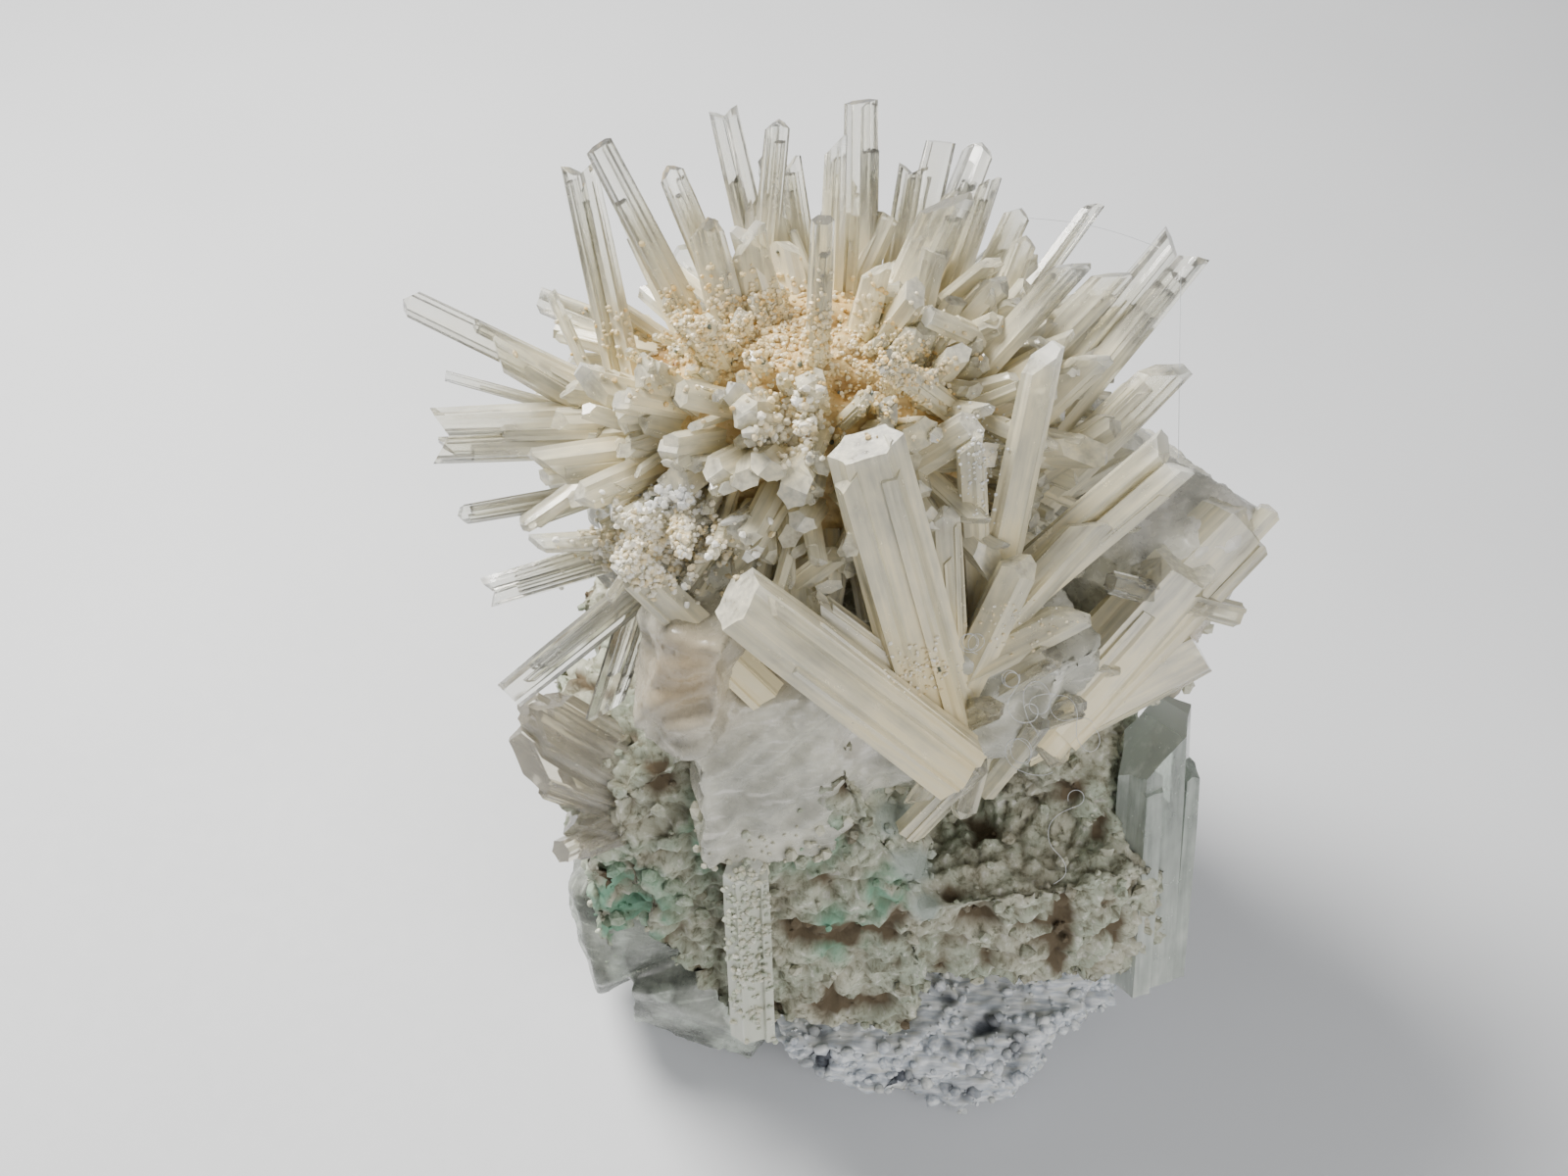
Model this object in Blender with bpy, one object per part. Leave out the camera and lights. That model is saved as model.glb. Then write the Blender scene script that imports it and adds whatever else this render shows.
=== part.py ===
"""A gypsum specimen: a spray of selenite crystals on massive gypsum, in a crumbly matrix.

Lengths are in millimetres until MM turns them into metres. +Z is up, the good side faces -Y,
and the origin is on the floor under the middle of the specimen's box.
"""

import math
import random

import bmesh
import bpy
from mathutils import Matrix, Vector
from mathutils.bvhtree import BVHTree

MM = 0.001
GAP = 0.3

# The tables below are laid out about a point near the middle. This step, along the floor, then
# brings the middle of the finished specimen over the origin.
CENTRING = Vector((0.5, 4.6, 0))

CUTTER_GROUP = "cutters"

# The good side is laid out as it shows to an eye that looks down on it. A place is given by
# how far it lies to the right, up and toward that eye, from the middle of the spray. The first
# two are read on the upright plane through that middle, so nearer things show larger there.
VIEW_PITCH = math.radians(55)
EYE = Vector((-0.8, -13.6, 152))
SPRAY_CENTRE = Vector((-4.5, 1.0, 70))
RIGHT = Vector((1, 0, 0))
UP = Vector((0, math.sin(VIEW_PITCH), math.cos(VIEW_PITCH)))
TOWARD = Vector((0, -math.cos(VIEW_PITCH), math.sin(VIEW_PITCH)))

CORE_PLACE = (2.5, 0, 1)
CORE_RADII = Vector((16.5, 11, 10.5))

# A crystal runs on behind its seat by SINK. WELD joins corners that a cut leaves side by side.
SINK = 7.0
WELD = 0.03
THICKNESS_SHARE = 0.6
END_WIDTH_SHARE = 0.82

# Cutting planes of each kind of crystal end: normals in the crystal's own axes, which are
# across its width, through its thickness and along its length.
ENDS = {
    "chisel": ((0.62, 0.1, 0.78), (-0.45, 0.2, 0.87)),
    "slant": ((0.7, 0.25, 0.67),),
    "blunt": ((0.12, 0.18, 0.97),),
    "point": ((0.75, 0.3, 0.6), (-0.75, 0.25, 0.62), (0.1, -0.8, 0.6)),
    "round": ((0.6, 0.2, 0.77), (-0.6, 0.2, 0.77), (0, -0.5, 0.86), (0, 0, 1)),
}
TWIN_SLOPE = 0.62

# Crystals as rows: where the tip shows, where the seat shows, width, kind of end.
BACK_TOP = (
    ((-16.3, 23.2, 10), (-10.0, 11.2, 5), 2.6, "blunt"),
    ((-17.6, 21.1, 8), (-14.8, 8.0, 4), 3.0, "twin"),
    ((-10.5, 21.4, 6), (-7.4, 14.0, 3), 2.4, "chisel"),
    ((-5.8, 25.6, 4), (-2.8, 12.5, 1), 2.5, "twin"),
    ((-1.2, 25.2, 6), (-2.4, 13.0, 2), 2.2, "chisel"),
    ((-0.3, 21.6, 3), (1.0, 12.5, 0), 2.0, "slant"),
    ((3.5, 23.4, 8), (3.0, 11.0, 4), 2.2, "slant"),
    ((5.5, 27.0, 5), (5.4, 10.4, 1), 3.0, "blunt"),
    ((9.8, 21.0, 2), (8.4, 12.0, 0), 2.6, "twin"),
    ((12.2, 23.6, 0), (9.2, 11.2, -2), 2.8, "blunt"),
    ((15.7, 23.6, -2), (10.8, 11.2, -2), 3.2, "round"),
    ((16.0, 20.2, 4), (12.4, 9.6, 1), 2.6, "slant"),
    ((18.8, 18.0, 2), (14.8, 9.6, 0), 2.4, "chisel"),
    ((24.8, 18.0, -2), (17.0, 7.5, -3), 1.8, "slant"),
)
CROWN = (
    ((2.4, 17.0, 20), (1.8, 2.8, 9), 2.0, "blunt"),
    ((13.2, 19.0, 13), (7.6, 6.8, 5), 4.2, "slant"),
    ((19.2, 15.6, 6), (16.4, 8.0, 3), 2.2, "chisel"),
    ((23.5, 13.4, 14), (12.4, 1.2, 6), 2.8, "slant"),
    ((7.1, 5.2, 19), (12.6, 1.2, 11), 2.2, "blunt"),
    ((10.6, 8.7, 15), (15.5, 6.6, 9), 1.8, "blunt"),
    ((-7.6, 17.2, 12), (-5.0, 7.0, 7), 3.4, "chisel"),
    ((-3.8, 16.0, 12), (-2.6, 8.0, 7), 3.2, "slant"),
    ((7.0, 13.0, 14), (5.2, 6.0, 8), 2.6, "slant"),
    ((17.6, 12.0, 10), (11.6, 5.4, 6), 2.6, "chisel"),
)
RIGHT_SIDE = (
    ((26.9, 12.6, 4), (20.0, 5.6, 1), 3.0, "slant"),
    ((32.2, 14.6, 4), (21.0, 1.0, 0), 4.6, "twin"),
    ((31.4, 5.0, 4), (21.0, -5.2, 0), 3.8, "slant"),
    ((28.4, -2.0, 0), (20.4, -6.4, -2), 2.6, "slant"),
    ((28.6, 9.4, -1), (20.0, 3.0, -2), 3.4, "chisel"),
    ((25.2, 5.8, 9), (18.0, -1.0, 5), 3.0, "slant"),
    ((27.0, 0.6, 8), (19.0, -4.6, 4), 3.0, "chisel"),
)
LEFT_SIDE = (
    ((-21.0, 10.6, 2), (-13.0, 7.6, 2), 1.1, "blunt"),
    ((-20.0, 10.9, 3), (-16.4, 3.0, 2), 1.2, "blunt"),
    ((-32.6, 10.3, 4), (-15.0, 1.8, 1), 2.6, "round"),
    ((-25.0, 6.2, 5), (-15.0, 0.4, 1), 3.0, "slant"),
    ((-28.7, 3.8, 1), (-17.0, 0.6, 0), 1.0, "blunt"),
    ((-29.6, -1.2, 3), (-15.0, -0.6, 1), 4.4, "twin"),
    ((-28.0, -7.8, 0), (-15.2, -5.6, -1), 2.0, "round"),
    ((-21.6, -10.0, 4), (-12.6, -9.6, 2), 1.8, "slant"),
    ((-25.2, -14.0, -3), (-13.8, -10.6, -3), 2.8, "twin"),
    ((-23.9, -22.9, -2), (-11.6, -13.0, -1), 3.0, "blunt"),
    ((-15.8, -24.6, -4), (-12.6, -14.8, -3), 3.2, "slant"),
    ((-21.4, -3.8, 8), (-11.8, -2.6, 4), 3.8, "slant"),
    ((-18.2, -6.6, 10), (-10.6, -3.4, 5), 2.8, "chisel"),
    ((-17.6, 3.4, 10), (-10.6, 1.4, 6), 3.4, "slant"),
    ((-12.8, 4.6, 15), (-8.8, 1.4, 8), 3.2, "chisel"),
)
FRONT_STUBS = (
    ((-9.6, 2.4, 17), (-3.2, 1.0, 9), 2.4, "blunt"),
    ((-11.0, -2.6, 15), (-5.0, -1.6, 8), 3.2, "chisel"),
    ((-7.0, -4.6, 16), (-2.6, -2.6, 9), 3.4, "chisel"),
    ((-14.0, -9.0, 11), (-8.0, -6.4, 6), 2.8, "slant"),
    ((-2.6, -4.0, 18), (-0.6, -2.4, 9), 3.4, "chisel"),
    ((-4.4, 0.6, 19), (-1.6, 0.4, 9), 3.4, "round"),
    ((1.4, 3.4, 19), (1.6, 1.0, 9), 3.0, "round"),
    ((0.4, -8.6, 15), (2.0, -6.0, 7), 2.8, "chisel"),
    ((-4.6, -9.0, 14), (-2.0, -7.0, 6), 3.0, "chisel"),
    ((3.6, -10.6, 11), (0.0, -13.2, 5), 2.4, "slant"),
)
FAN = (
    ((5.4, -0.2, 20), (10.6, -20.0, 5), 6.6, "blunt"),
    ((31.4, -2.4, 14), (18.4, -13.6, 5), 4.2, "twin"),
    ((20.6, 6.2, 18), (16.6, -12.8, 6), 3.2, "slant"),
    ((14.3, -1.1, 16), (14.9, -12.0, 6), 2.4, "slant"),
    ((15.2, 0.0, 16), (8.6, -4.0, 9), 3.0, "blunt"),
    ((12.2, -6.6, 13), (12.8, -18.0, 5), 2.8, "chisel"),
    ((25.0, -7.6, 11), (16.0, -17.4, 5), 3.4, "slant"),
    ((23.6, -15.4, 9), (15.0, -19.6, 4), 3.2, "slant"),
    ((19.0, -10.6, 12), (15.2, -18.4, 5), 3.6, "chisel"),
    ((1.0, -15.0, 9), (8.6, -20.6, 5), 3.4, "slant"),
    ((-14.6, -10.4, 10), (-6.6, -18.0, 4), 3.4, "blunt"),
    ((4.8, -25.6, 9), (10.4, -21.4, 3), 3.4, "slant"),
)
UNDER_FAN = (
    ((21.6, -18.6, 8), (16.6, -21.4, 2), 3.0, "blunt"),
    ((20.2, -24.4, 3), (17.6, -27.6, -4), 2.2, "slant"),
    ((15.4, -27.4, 2), (12.2, -30.6, -4), 2.8, "chisel"),
    ((11.4, -26.6, 5), (13.6, -22.4, 0), 2.6, "slant"),
    ((16.4, -23.0, 6), (13.0, -24.6, 0), 2.6, "slant"),
    ((24.0, -22.8, 2), (19.4, -24.4, -2), 2.6, "chisel"),
    ((9.6, -31.6, -1), (12.6, -27.4, -3), 2.4, "slant"),
    ((13.4, -33.2, -3), (14.6, -28.6, -4), 2.6, "round"),
    ((22.6, -28.6, -4), (19.8, -24.6, -4), 3.2, "chisel"),
    ((26.4, -19.4, 0), (20.6, -20.6, -3), 3.0, "slant"),
)
SMALL_RIGHT = (
    ((25.4, -13.0, 4), (31.6, -14.6, -1), 2.2, "blunt"),
    ((30.0, -10.6, 2), (27.4, -17.0, -3), 4.0, "chisel"),
)

# Thick prisms and blocks as rows: tip, seat, width, thickness, kind of end.
THICK_PRISMS = (
    ((-6.0, -13.4, 14), (8.4, -24.4, 7), 6.0, 4.4, "blunt"),
    ((38.6, -5.4, -4), (25.0, -19.4, -4), 7.4, 6.2, "round"),
    ((34.4, -17.4, -9), (24.0, -22.6, -9), 6.6, 5.4, "blunt"),
    ((33.0, -10.4, 0), (24.0, -20.4, -3), 6.4, 5.6, "blunt"),
)

LEFT_BLADES = (
    ((-23.4, -22.4, -5), (-12.6, -29.0, -13), 6.6, 3.4, "point"),
    ((-23.0, -27.0, -7), (-12.0, -31.0, -14), 5.6, 3.4, "slant"),
    ((-20.4, -34.4, -10), (-12.0, -30.6, -15), 6.8, 4.0, "point"),
)
RIGHT_PLATE = ((29.6, -24.0, -13.5), (28.6, -41.0, -32), 8.0, 5.4, "slant")
MATRIX_PRISM = ((-4.2, -35.8, -7.5), (-3.6, -46.0, -19.5), 4.2, 3.0, "blunt")

# Broken blocks as rows: middle, half sizes across, back and up, turn about the upright and tilt
# to the back in degrees, number of breaks, seed.
MASSIVE_BLOCKS = (
    ((-13.0, -14.5, 58.0), (4.6, 5.0, 7.4), -24, 14, 5, 3),
    ((-5.0, -14.0, 47.5), (9.0, 7.0, 9.5), 12, 20, 7, 5),
    ((9.5, -11.0, 51.5), (11.0, 8.5, 10.0), -8, 10, 7, 8),
    ((24.5, 0.0, 50.0), (9.0, 10.0, 12.0), 20, 8, 8, 12),
    ((-11.0, -2.0, 60.0), (8.5, 9.0, 8.0), 30, 0, 8, 17),
)
TRUNK = ((2.0, 2.0, 51.0), (23.0, 16.0, 17.0), 15, 21)
LOWER_GYPSUM = (
    ((-19.5, -16.5, 17.0), (6.6, 6.4, 8.0), 20, 10, 7, 31),
    ((-12.5, -20.5, 8.0), (6.6, 6.0, 6.2), -14, 0, 7, 37),
)
MATRIX_FRONT = (
    ((-4.0, -17.0, 33.0), (12.0, 8.0, 18.0), -6, 14, 8, 47),
    ((18.0, -15.5, 21.5), (12.5, 10.5, 9.5), 8, 16, 8, 53),
    ((-17.0, -11.0, 27.0), (8.5, 10.0, 14.0), 12, 4, 8, 59),
    ((-16.0, -13.0, 39.5), (7.0, 7.0, 8.0), 24, 10, 7, 61),
)
MATRIX_BACK = (
    ((2.0, -4.0, 9.0), (16.0, 14.0, 10.5), 6, 0, 8, 41),
    ((20.5, -7.0, 32.0), (8.0, 9.0, 11.0), -10, 6, 8, 67),
    ((5.0, 5.0, 12.0), (18.0, 14.0, 12.5), 24, 0, 9, 43),
    ((-9.0, 5.0, 30.0), (14.0, 12.0, 13.0), 28, 6, 9, 73),
    ((13.0, 5.0, 31.0), (14.0, 12.0, 14.0), -18, 4, 9, 74),
    ((3.0, 11.0, 27.0), (12.0, 9.0, 14.0), 6, -8, 9, 75),
)

# How finely the faces of those blocks are broken up, and by how much of the half size.
FRONT_CUTS = 3
BACK_CUTS = 1
JITTER = 0.09

# Pits in the matrix as rows: middle, radii, number of breaks, seed.
PITS = (
    ((12.5, -24.5, 29.5), (2.6, 3.4, 2.2), 3, 91),
    ((20.0, -25.0, 26.5), (2.8, 3.6, 1.8), 3, 92),
    ((25.0, -23.0, 24.5), (1.8, 3.0, 1.6), 3, 93),
    ((-16.0, -20.5, 46.0), (2.2, 3.0, 1.8), 3, 94),
    ((3.0, -31.0, 20.5), (3.4, 3.6, 1.8), 3, 95),
)
CRUMB_COUNT = 16
CRUMB_SIZE = (1.2, 3.4)
CRUMB_BAND = (5, 48)

# Ledges as rows: middle, half sizes, turn and tilt in degrees.
LEDGE_SIDES = 11
LEDGE_REACH = (0.78, 1.1)
FOOT_LEDGES = (
    ((13.5, -24.0, 3.2), (10.0, 9.0, 1.7), 12, 3),
    ((6.0, -24.5, 6.2), (11.5, 8.0, 1.7), 8, 4),
    ((22.5, -19.0, 6.2), (9.5, 6.6, 1.6), 28, -4),
    ((15.5, -22.5, 8.8), (12.0, 8.6, 1.7), 14, 4),
    ((2.5, -24.5, 9.8), (10.0, 7.0, 1.7), 6, 5),
    ((24.5, -17.5, 11.2), (8.5, 6.6, 1.6), 26, -4),
)

# Rays cover the core on an even spiral. Those of the hidden side are long and those of the
# good side are stubs that fill the room between the crystals above.
LONG_RAYS = {"count": 40, "front": False, "length": (9, 16), "width": (2.2, 4.4), "seed": 11}
STUB_RAYS = {"count": 50, "front": True, "length": (3.5, 7.5), "width": (2.8, 4.6), "seed": 17}
RIM = 0.15

# Blocky crystals round the hidden flanks of the massive gypsum, from its right to its left.
FLANK_COUNT = 20
FLANK_TURNS = (-24, 204)
FLANK_RISE = (-10, 55)
FLANK_START = Vector((18, 12.5, 10))
FLANK_LENGTH = (6, 11)
FLANK_WIDTH = (4.0, 8.0)


def clear_scene():
    for obj in list(bpy.data.objects):
        bpy.data.objects.remove(obj, do_unlink=True)


def collection(name):
    made = bpy.data.collections.new(name)
    bpy.context.scene.collection.children.link(made)
    return made


def material(name, colour, roughness, transmission=0.0):
    made = bpy.data.materials.new(name)
    made.use_nodes = True
    shader = made.node_tree.nodes["Principled BSDF"]
    shader.inputs["Base Color"].default_value = (*colour, 1)
    shader.inputs["Roughness"].default_value = roughness
    shader.inputs["Metallic"].default_value = 0
    shader.inputs["Transmission Weight"].default_value = transmission
    shader.inputs["IOR"].default_value = 1.52
    made.diffuse_color = (*colour, 1)
    return made


def seen(place):
    """The point in the specimen's axes of a place laid out as the good side shows it."""
    across, up, toward = place
    share = toward / EYE.z
    across += (EYE.x - across) * share
    up += (EYE.y - up) * share
    return SPRAY_CENTRE + RIGHT * across + UP * up + TOWARD * toward


def mesh_object(name, bm, group):
    mesh = bpy.data.meshes.new(name)
    bmesh.ops.recalc_face_normals(bm, faces=bm.faces)
    bm.to_mesh(mesh)
    bm.free()
    made = bpy.data.objects.new(name, mesh)
    group.objects.link(made)
    if group.name == CUTTER_GROUP:
        made.hide_render = True
        made.display_type = "WIRE"
    return made


def slice_off(bm, point, normal):
    """Cuts away what lies beyond a plane and closes the cut."""
    geometry = bm.verts[:] + bm.edges[:] + bm.faces[:]
    cut = bmesh.ops.bisect_plane(
        bm, geom=geometry, plane_co=point, plane_no=normal, clear_outer=True
    )
    rim = [item for item in cut["geom_cut"] if isinstance(item, bmesh.types.BMEdge)]
    if rim:
        bmesh.ops.edgeloop_fill(bm, edges=rim)


def lath(length, width, thickness, normals, offset=0.0):
    """A six-sided prism along +Z from the origin, with its far end cut by the planes."""
    bm = bmesh.new()
    bmesh.ops.create_cone(
        bm,
        cap_ends=True,
        segments=6,
        radius1=0.5,
        radius2=0.5 * END_WIDTH_SHARE,
        depth=length,
    )
    bmesh.ops.translate(bm, vec=(0, 0, length / 2), verts=bm.verts)
    bmesh.ops.scale(bm, vec=(width, thickness, 1), verts=bm.verts)
    shoulder = length - 0.28 * width
    for normal in normals:
        slice_off(bm, Vector((0, 0, shoulder)), Vector(normal).normalized())
    bmesh.ops.remove_doubles(bm, verts=bm.verts, dist=WELD)
    bmesh.ops.translate(bm, vec=(offset, 0, 0), verts=bm.verts)
    return bm


def stand(bm, seat, tip, roll):
    """Turns a prism that stands on the origin so that it runs from seat to tip."""
    along = (tip - seat).normalized()
    through = TOWARD - along * TOWARD.dot(along)
    if through.length < 0.2:
        through = UP - along * UP.dot(along)
    through.normalize()
    across = through.cross(along)
    frame = Matrix((across, through, along)).transposed().to_4x4()
    turned = Matrix.Translation(seat) @ frame @ Matrix.Rotation(roll, 4, "Z")
    bmesh.ops.transform(bm, matrix=Matrix.Scale(MM, 4) @ turned, verts=bm.verts)


def crystal(tip, seat, width, thickness, end, roll, group, grow=0.0):
    """One crystal, or the two halves of a twin, sunk into what it grows from."""
    along = (tip - seat).normalized()
    root = seat - along * SINK
    length = (tip - root).length + grow
    wide = width + 2 * grow
    thick = thickness + 2 * grow
    if end == "twin":
        halves = ((0.24, -TWIN_SLOPE), (-0.24, TWIN_SLOPE))
        shapes = [
            lath(length, wide * 0.62, thick, ((slope, 0, 1),), wide * side)
            for side, slope in halves
        ]
    else:
        shapes = [lath(length, wide, thick, ENDS[end])]
    made = []
    for bm in shapes:
        stand(bm, root, root + along, roll)
        made.append(mesh_object("crystal", bm, group))
    return made


def random_direction(chance):
    height = chance.uniform(-1, 1)
    turn = chance.uniform(0, 2 * math.pi)
    flat = math.sqrt(1 - height * height)
    return Vector((flat * math.cos(turn), flat * math.sin(turn), height))


def lump(middle, radii, breaks, seed, group, grow=0.0, rounds=2):
    """A ball broken flat on several sides and stretched to its radii."""
    chance = random.Random(seed)
    bm = bmesh.new()
    bmesh.ops.create_icosphere(bm, subdivisions=rounds, radius=1)
    for vertex in bm.verts:
        vertex.co *= chance.uniform(0.9, 1.06)
    for _ in range(breaks):
        direction = random_direction(chance)
        slice_off(bm, direction * chance.uniform(0.66, 0.86), direction)
    bmesh.ops.remove_doubles(bm, verts=bm.verts, dist=WELD)
    size = Vector(radii) + Vector((grow, grow, grow))
    bmesh.ops.scale(bm, vec=size, verts=bm.verts)
    bmesh.ops.transform(bm, matrix=placed(middle, 0, 0), verts=bm.verts)
    return mesh_object("lump", bm, group)


def placed(middle, turn, tilt):
    """The matrix, in metres, that turns a shape about the upright and tilts its top back."""
    return (
        Matrix.Scale(MM, 4)
        @ Matrix.Translation(middle)
        @ Matrix.Rotation(math.radians(turn), 4, "Z")
        @ Matrix.Rotation(math.radians(-tilt), 4, "X")
    )


def block(middle, half, turn, tilt, breaks, seed, group, grow=0.0, cuts=0):
    """A box whose corners and edges are broken off flat, rough where it has cuts."""
    chance = random.Random(seed)
    bm = bmesh.new()
    bmesh.ops.create_cube(bm, size=2)
    if cuts:
        bmesh.ops.subdivide_edges(bm, edges=bm.edges, cuts=cuts, use_grid_fill=True)
        for vertex in bm.verts:
            vertex.co += random_direction(chance) * JITTER
    for _ in range(breaks):
        direction = random_direction(chance)
        slice_off(bm, direction * chance.uniform(0.92, 1.14), direction)
    bmesh.ops.remove_doubles(bm, verts=bm.verts, dist=WELD)
    size = Vector(half) + Vector((grow, grow, grow))
    bmesh.ops.scale(bm, vec=size, verts=bm.verts)
    bmesh.ops.transform(bm, matrix=placed(middle, turn, tilt), verts=bm.verts)
    return mesh_object("block", bm, group)


def ledge(middle, half, turn, tilt, seed, group, grow=0.0):
    """A flat plate with a broken outline."""
    chance = random.Random(seed)
    bm = bmesh.new()
    bmesh.ops.create_cone(
        bm, cap_ends=True, segments=LEDGE_SIDES, radius1=1, radius2=0.93, depth=2
    )
    reach = [chance.uniform(*LEDGE_REACH) for _ in range(LEDGE_SIDES)]
    for vertex in bm.verts:
        share = math.atan2(vertex.co.y, vertex.co.x) / (2 * math.pi) % 1
        step = reach[round(share * LEDGE_SIDES) % LEDGE_SIDES]
        vertex.co.x *= step
        vertex.co.y *= step
    size = Vector(half) + Vector((grow, grow, grow))
    bmesh.ops.scale(bm, vec=size, verts=bm.verts)
    bmesh.ops.transform(bm, matrix=placed(middle, turn, tilt), verts=bm.verts)
    return mesh_object("ledge", bm, group)


def boolean(target, group, operation):
    """Joins to the target, or cuts from it, every solid of a collection."""
    modifier = target.modifiers.new(operation.lower(), "BOOLEAN")
    modifier.operation = operation
    modifier.operand_type = "COLLECTION"
    modifier.collection = group
    modifier.solver = "EXACT"
    graph = bpy.context.evaluated_depsgraph_get()
    joined = bpy.data.meshes.new_from_object(target.evaluated_get(graph))
    target.modifiers.clear()
    target.data = joined


def keep_outer_skin(obj):
    """Drops loose bits and the walls of sealed hollows, which fills them."""
    bm = bmesh.new()
    bm.from_mesh(obj.data)
    left = set(bm.verts)
    bodies = []
    while left:
        body = set()
        edge = [next(iter(left))]
        while edge:
            vertex = edge.pop()
            if vertex in body:
                continue
            body.add(vertex)
            edge.extend(e.other_vert(vertex) for e in vertex.link_edges)
        bodies.append(body)
        left -= body
    bodies.sort(key=len)
    loose = [vertex for body in bodies[:-1] for vertex in body]
    bmesh.ops.delete(bm, geom=loose, context="VERTS")
    bm.to_mesh(obj.data)
    bm.free()


def fused(name, pieces, parts, look):
    """One named solid from overlapping pieces."""
    first, *others = pieces
    group = bpy.data.collections.new("joining")
    for piece in others:
        group.objects.link(piece)
    for held in list(first.users_collection):
        held.objects.unlink(first)
    parts.objects.link(first)
    first.name = name
    first.data.name = name
    if others:
        boolean(first, group, "UNION")
        keep_outer_skin(first)
    for piece in others:
        bpy.data.objects.remove(piece, do_unlink=True)
    bpy.data.collections.remove(group)
    first.data.materials.clear()
    first.data.materials.append(look)
    return first


def rays(count, front, length, width, seed):
    """Crystals of one side of the core, as rows of places in the specimen's own axes."""
    chance = random.Random(seed)
    middle = seen(CORE_PLACE)
    golden_turn = math.pi * (3 - math.sqrt(5))
    rows = []
    for index in range(count):
        height = 0.98 - 1.5 * (index + 0.5) / count
        flat = math.sqrt(1 - height * height)
        turn = golden_turn * index
        way = Vector((flat * math.cos(turn), flat * math.sin(turn), height))
        toward = way.dot(TOWARD)
        if front and toward < RIM or not front and toward > -RIM:
            continue
        seat = middle + Vector((a * b for a, b in zip(way, CORE_RADII)))
        lean = (way + 0.22 * random_direction(chance)).normalized()
        tip = seat + lean * chance.uniform(*length)
        end = chance.choice(("chisel", "slant", "blunt", "chisel"))
        rows.append((tip, seat, chance.uniform(*width), end, chance.uniform(0, math.pi)))
    return rows


def flank_rays():
    """Blocky crystals that lean out of the back and the flanks of the massive gypsum."""
    chance = random.Random(23)
    middle = Vector(TRUNK[0])
    rows = []
    for index in range(FLANK_COUNT):
        share = (index + 0.5) / FLANK_COUNT
        turn = math.radians(FLANK_TURNS[0] + (FLANK_TURNS[1] - FLANK_TURNS[0]) * share)
        rise = math.radians(chance.uniform(*FLANK_RISE))
        flat = math.cos(rise)
        way = Vector((math.cos(turn) * flat, math.sin(turn) * flat, math.sin(rise)))
        level = chance.uniform(-1, 1)
        start = (way.x * FLANK_START.x, way.y * FLANK_START.y, level * FLANK_START.z)
        seat = middle + Vector(start)
        tip = seat + way * chance.uniform(*FLANK_LENGTH)
        end = chance.choice(("chisel", "slant", "blunt", "point"))
        rows.append((tip, seat, chance.uniform(*FLANK_WIDTH), end, chance.uniform(0, 3)))
    return rows


def crystal_pieces(rows, group, grow=0.0):
    chance = random.Random(7)
    pieces = []
    for tip, seat, width, end in rows:
        roll = chance.uniform(-0.5, 0.5)
        thick = width * THICKNESS_SHARE
        pieces += crystal(seen(tip), seen(seat), width, thick, end, roll, group, grow)
    return pieces


def ray_pieces(rows, group, grow=0.0):
    pieces = []
    for tip, seat, width, end, roll in rows:
        thick = width * THICKNESS_SHARE
        pieces += crystal(tip, seat, width, thick, end, roll, group, grow)
    return pieces


def low_pieces(group, grow=0.0):
    """The part of the gypsum that reaches down to the matrix."""
    pieces = [lump(*TRUNK, group, grow)] + block_pieces(MASSIVE_BLOCKS, group, grow)
    pieces += crystal_pieces(UNDER_FAN, group, grow)
    pieces += ray_pieces(flank_rays(), group, grow)
    return pieces + blade_pieces(THICK_PRISMS, group, grow)


def spray_pieces(group):
    pieces = low_pieces(group)
    pieces.append(lump(seen(CORE_PLACE), CORE_RADII, 0, 2, group))
    for rows in (BACK_TOP, CROWN, RIGHT_SIDE, LEFT_SIDE, FRONT_STUBS, FAN, SMALL_RIGHT):
        pieces += crystal_pieces(rows, group)
    return pieces + ray_pieces(rays(**LONG_RAYS) + rays(**STUB_RAYS), group)


def blade_pieces(rows, group, grow=0.0):
    pieces = []
    for tip, seat, width, thick, end in rows:
        pieces += crystal(seen(tip), seen(seat), width, thick, end, 0.3, group, grow)
    return pieces


def block_pieces(rows, group, grow=0.0):
    return [block(*row, group, grow) for row in rows]


def foot_pieces(group, grow=0.0):
    return [
        ledge(*row, 80 + index, group, grow) for index, row in enumerate(FOOT_LEDGES)
    ]


def crumbs(rock, group):
    """Small lumps stuck on the front and the sides of the matrix."""
    chance = random.Random(5)
    surface = BVHTree.FromPolygons(
        [vertex.co for vertex in rock.data.vertices],
        [face.vertices[:] for face in rock.data.polygons],
    )
    pieces = []
    for index in range(CRUMB_COUNT):
        turn = math.radians(chance.gauss(0, 80))
        inward = Vector((-math.sin(turn), math.cos(turn), 0))
        aim = Vector((chance.uniform(-16, 22), -6, chance.uniform(*CRUMB_BAND)))
        hit = surface.ray_cast((aim - inward * 80) * MM, inward)[0]
        size = chance.uniform(*CRUMB_SIZE)
        if hit is None:
            continue
        spot = hit / MM + inward * size * 0.3
        radii = (size, size * 0.9, size * 0.75)
        pieces.append(lump(spot, radii, 2, 200 + index, group, rounds=1))
    return pieces


def floor_block(group):
    """A slab whose top is the floor. It cuts the patch that the specimen rests on."""
    bm = bmesh.new()
    bmesh.ops.create_cube(bm, size=1)
    bmesh.ops.scale(bm, vec=(0.2, 0.2, 0.05), verts=bm.verts)
    bmesh.ops.translate(bm, vec=(0, 0, -0.025), verts=bm.verts)
    return mesh_object("floor_block", bm, group)


def drop(group):
    """Removes a working collection and what is left in it."""
    for obj in list(group.objects):
        bpy.data.objects.remove(obj, do_unlink=True)
    bpy.data.collections.remove(group)


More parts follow.
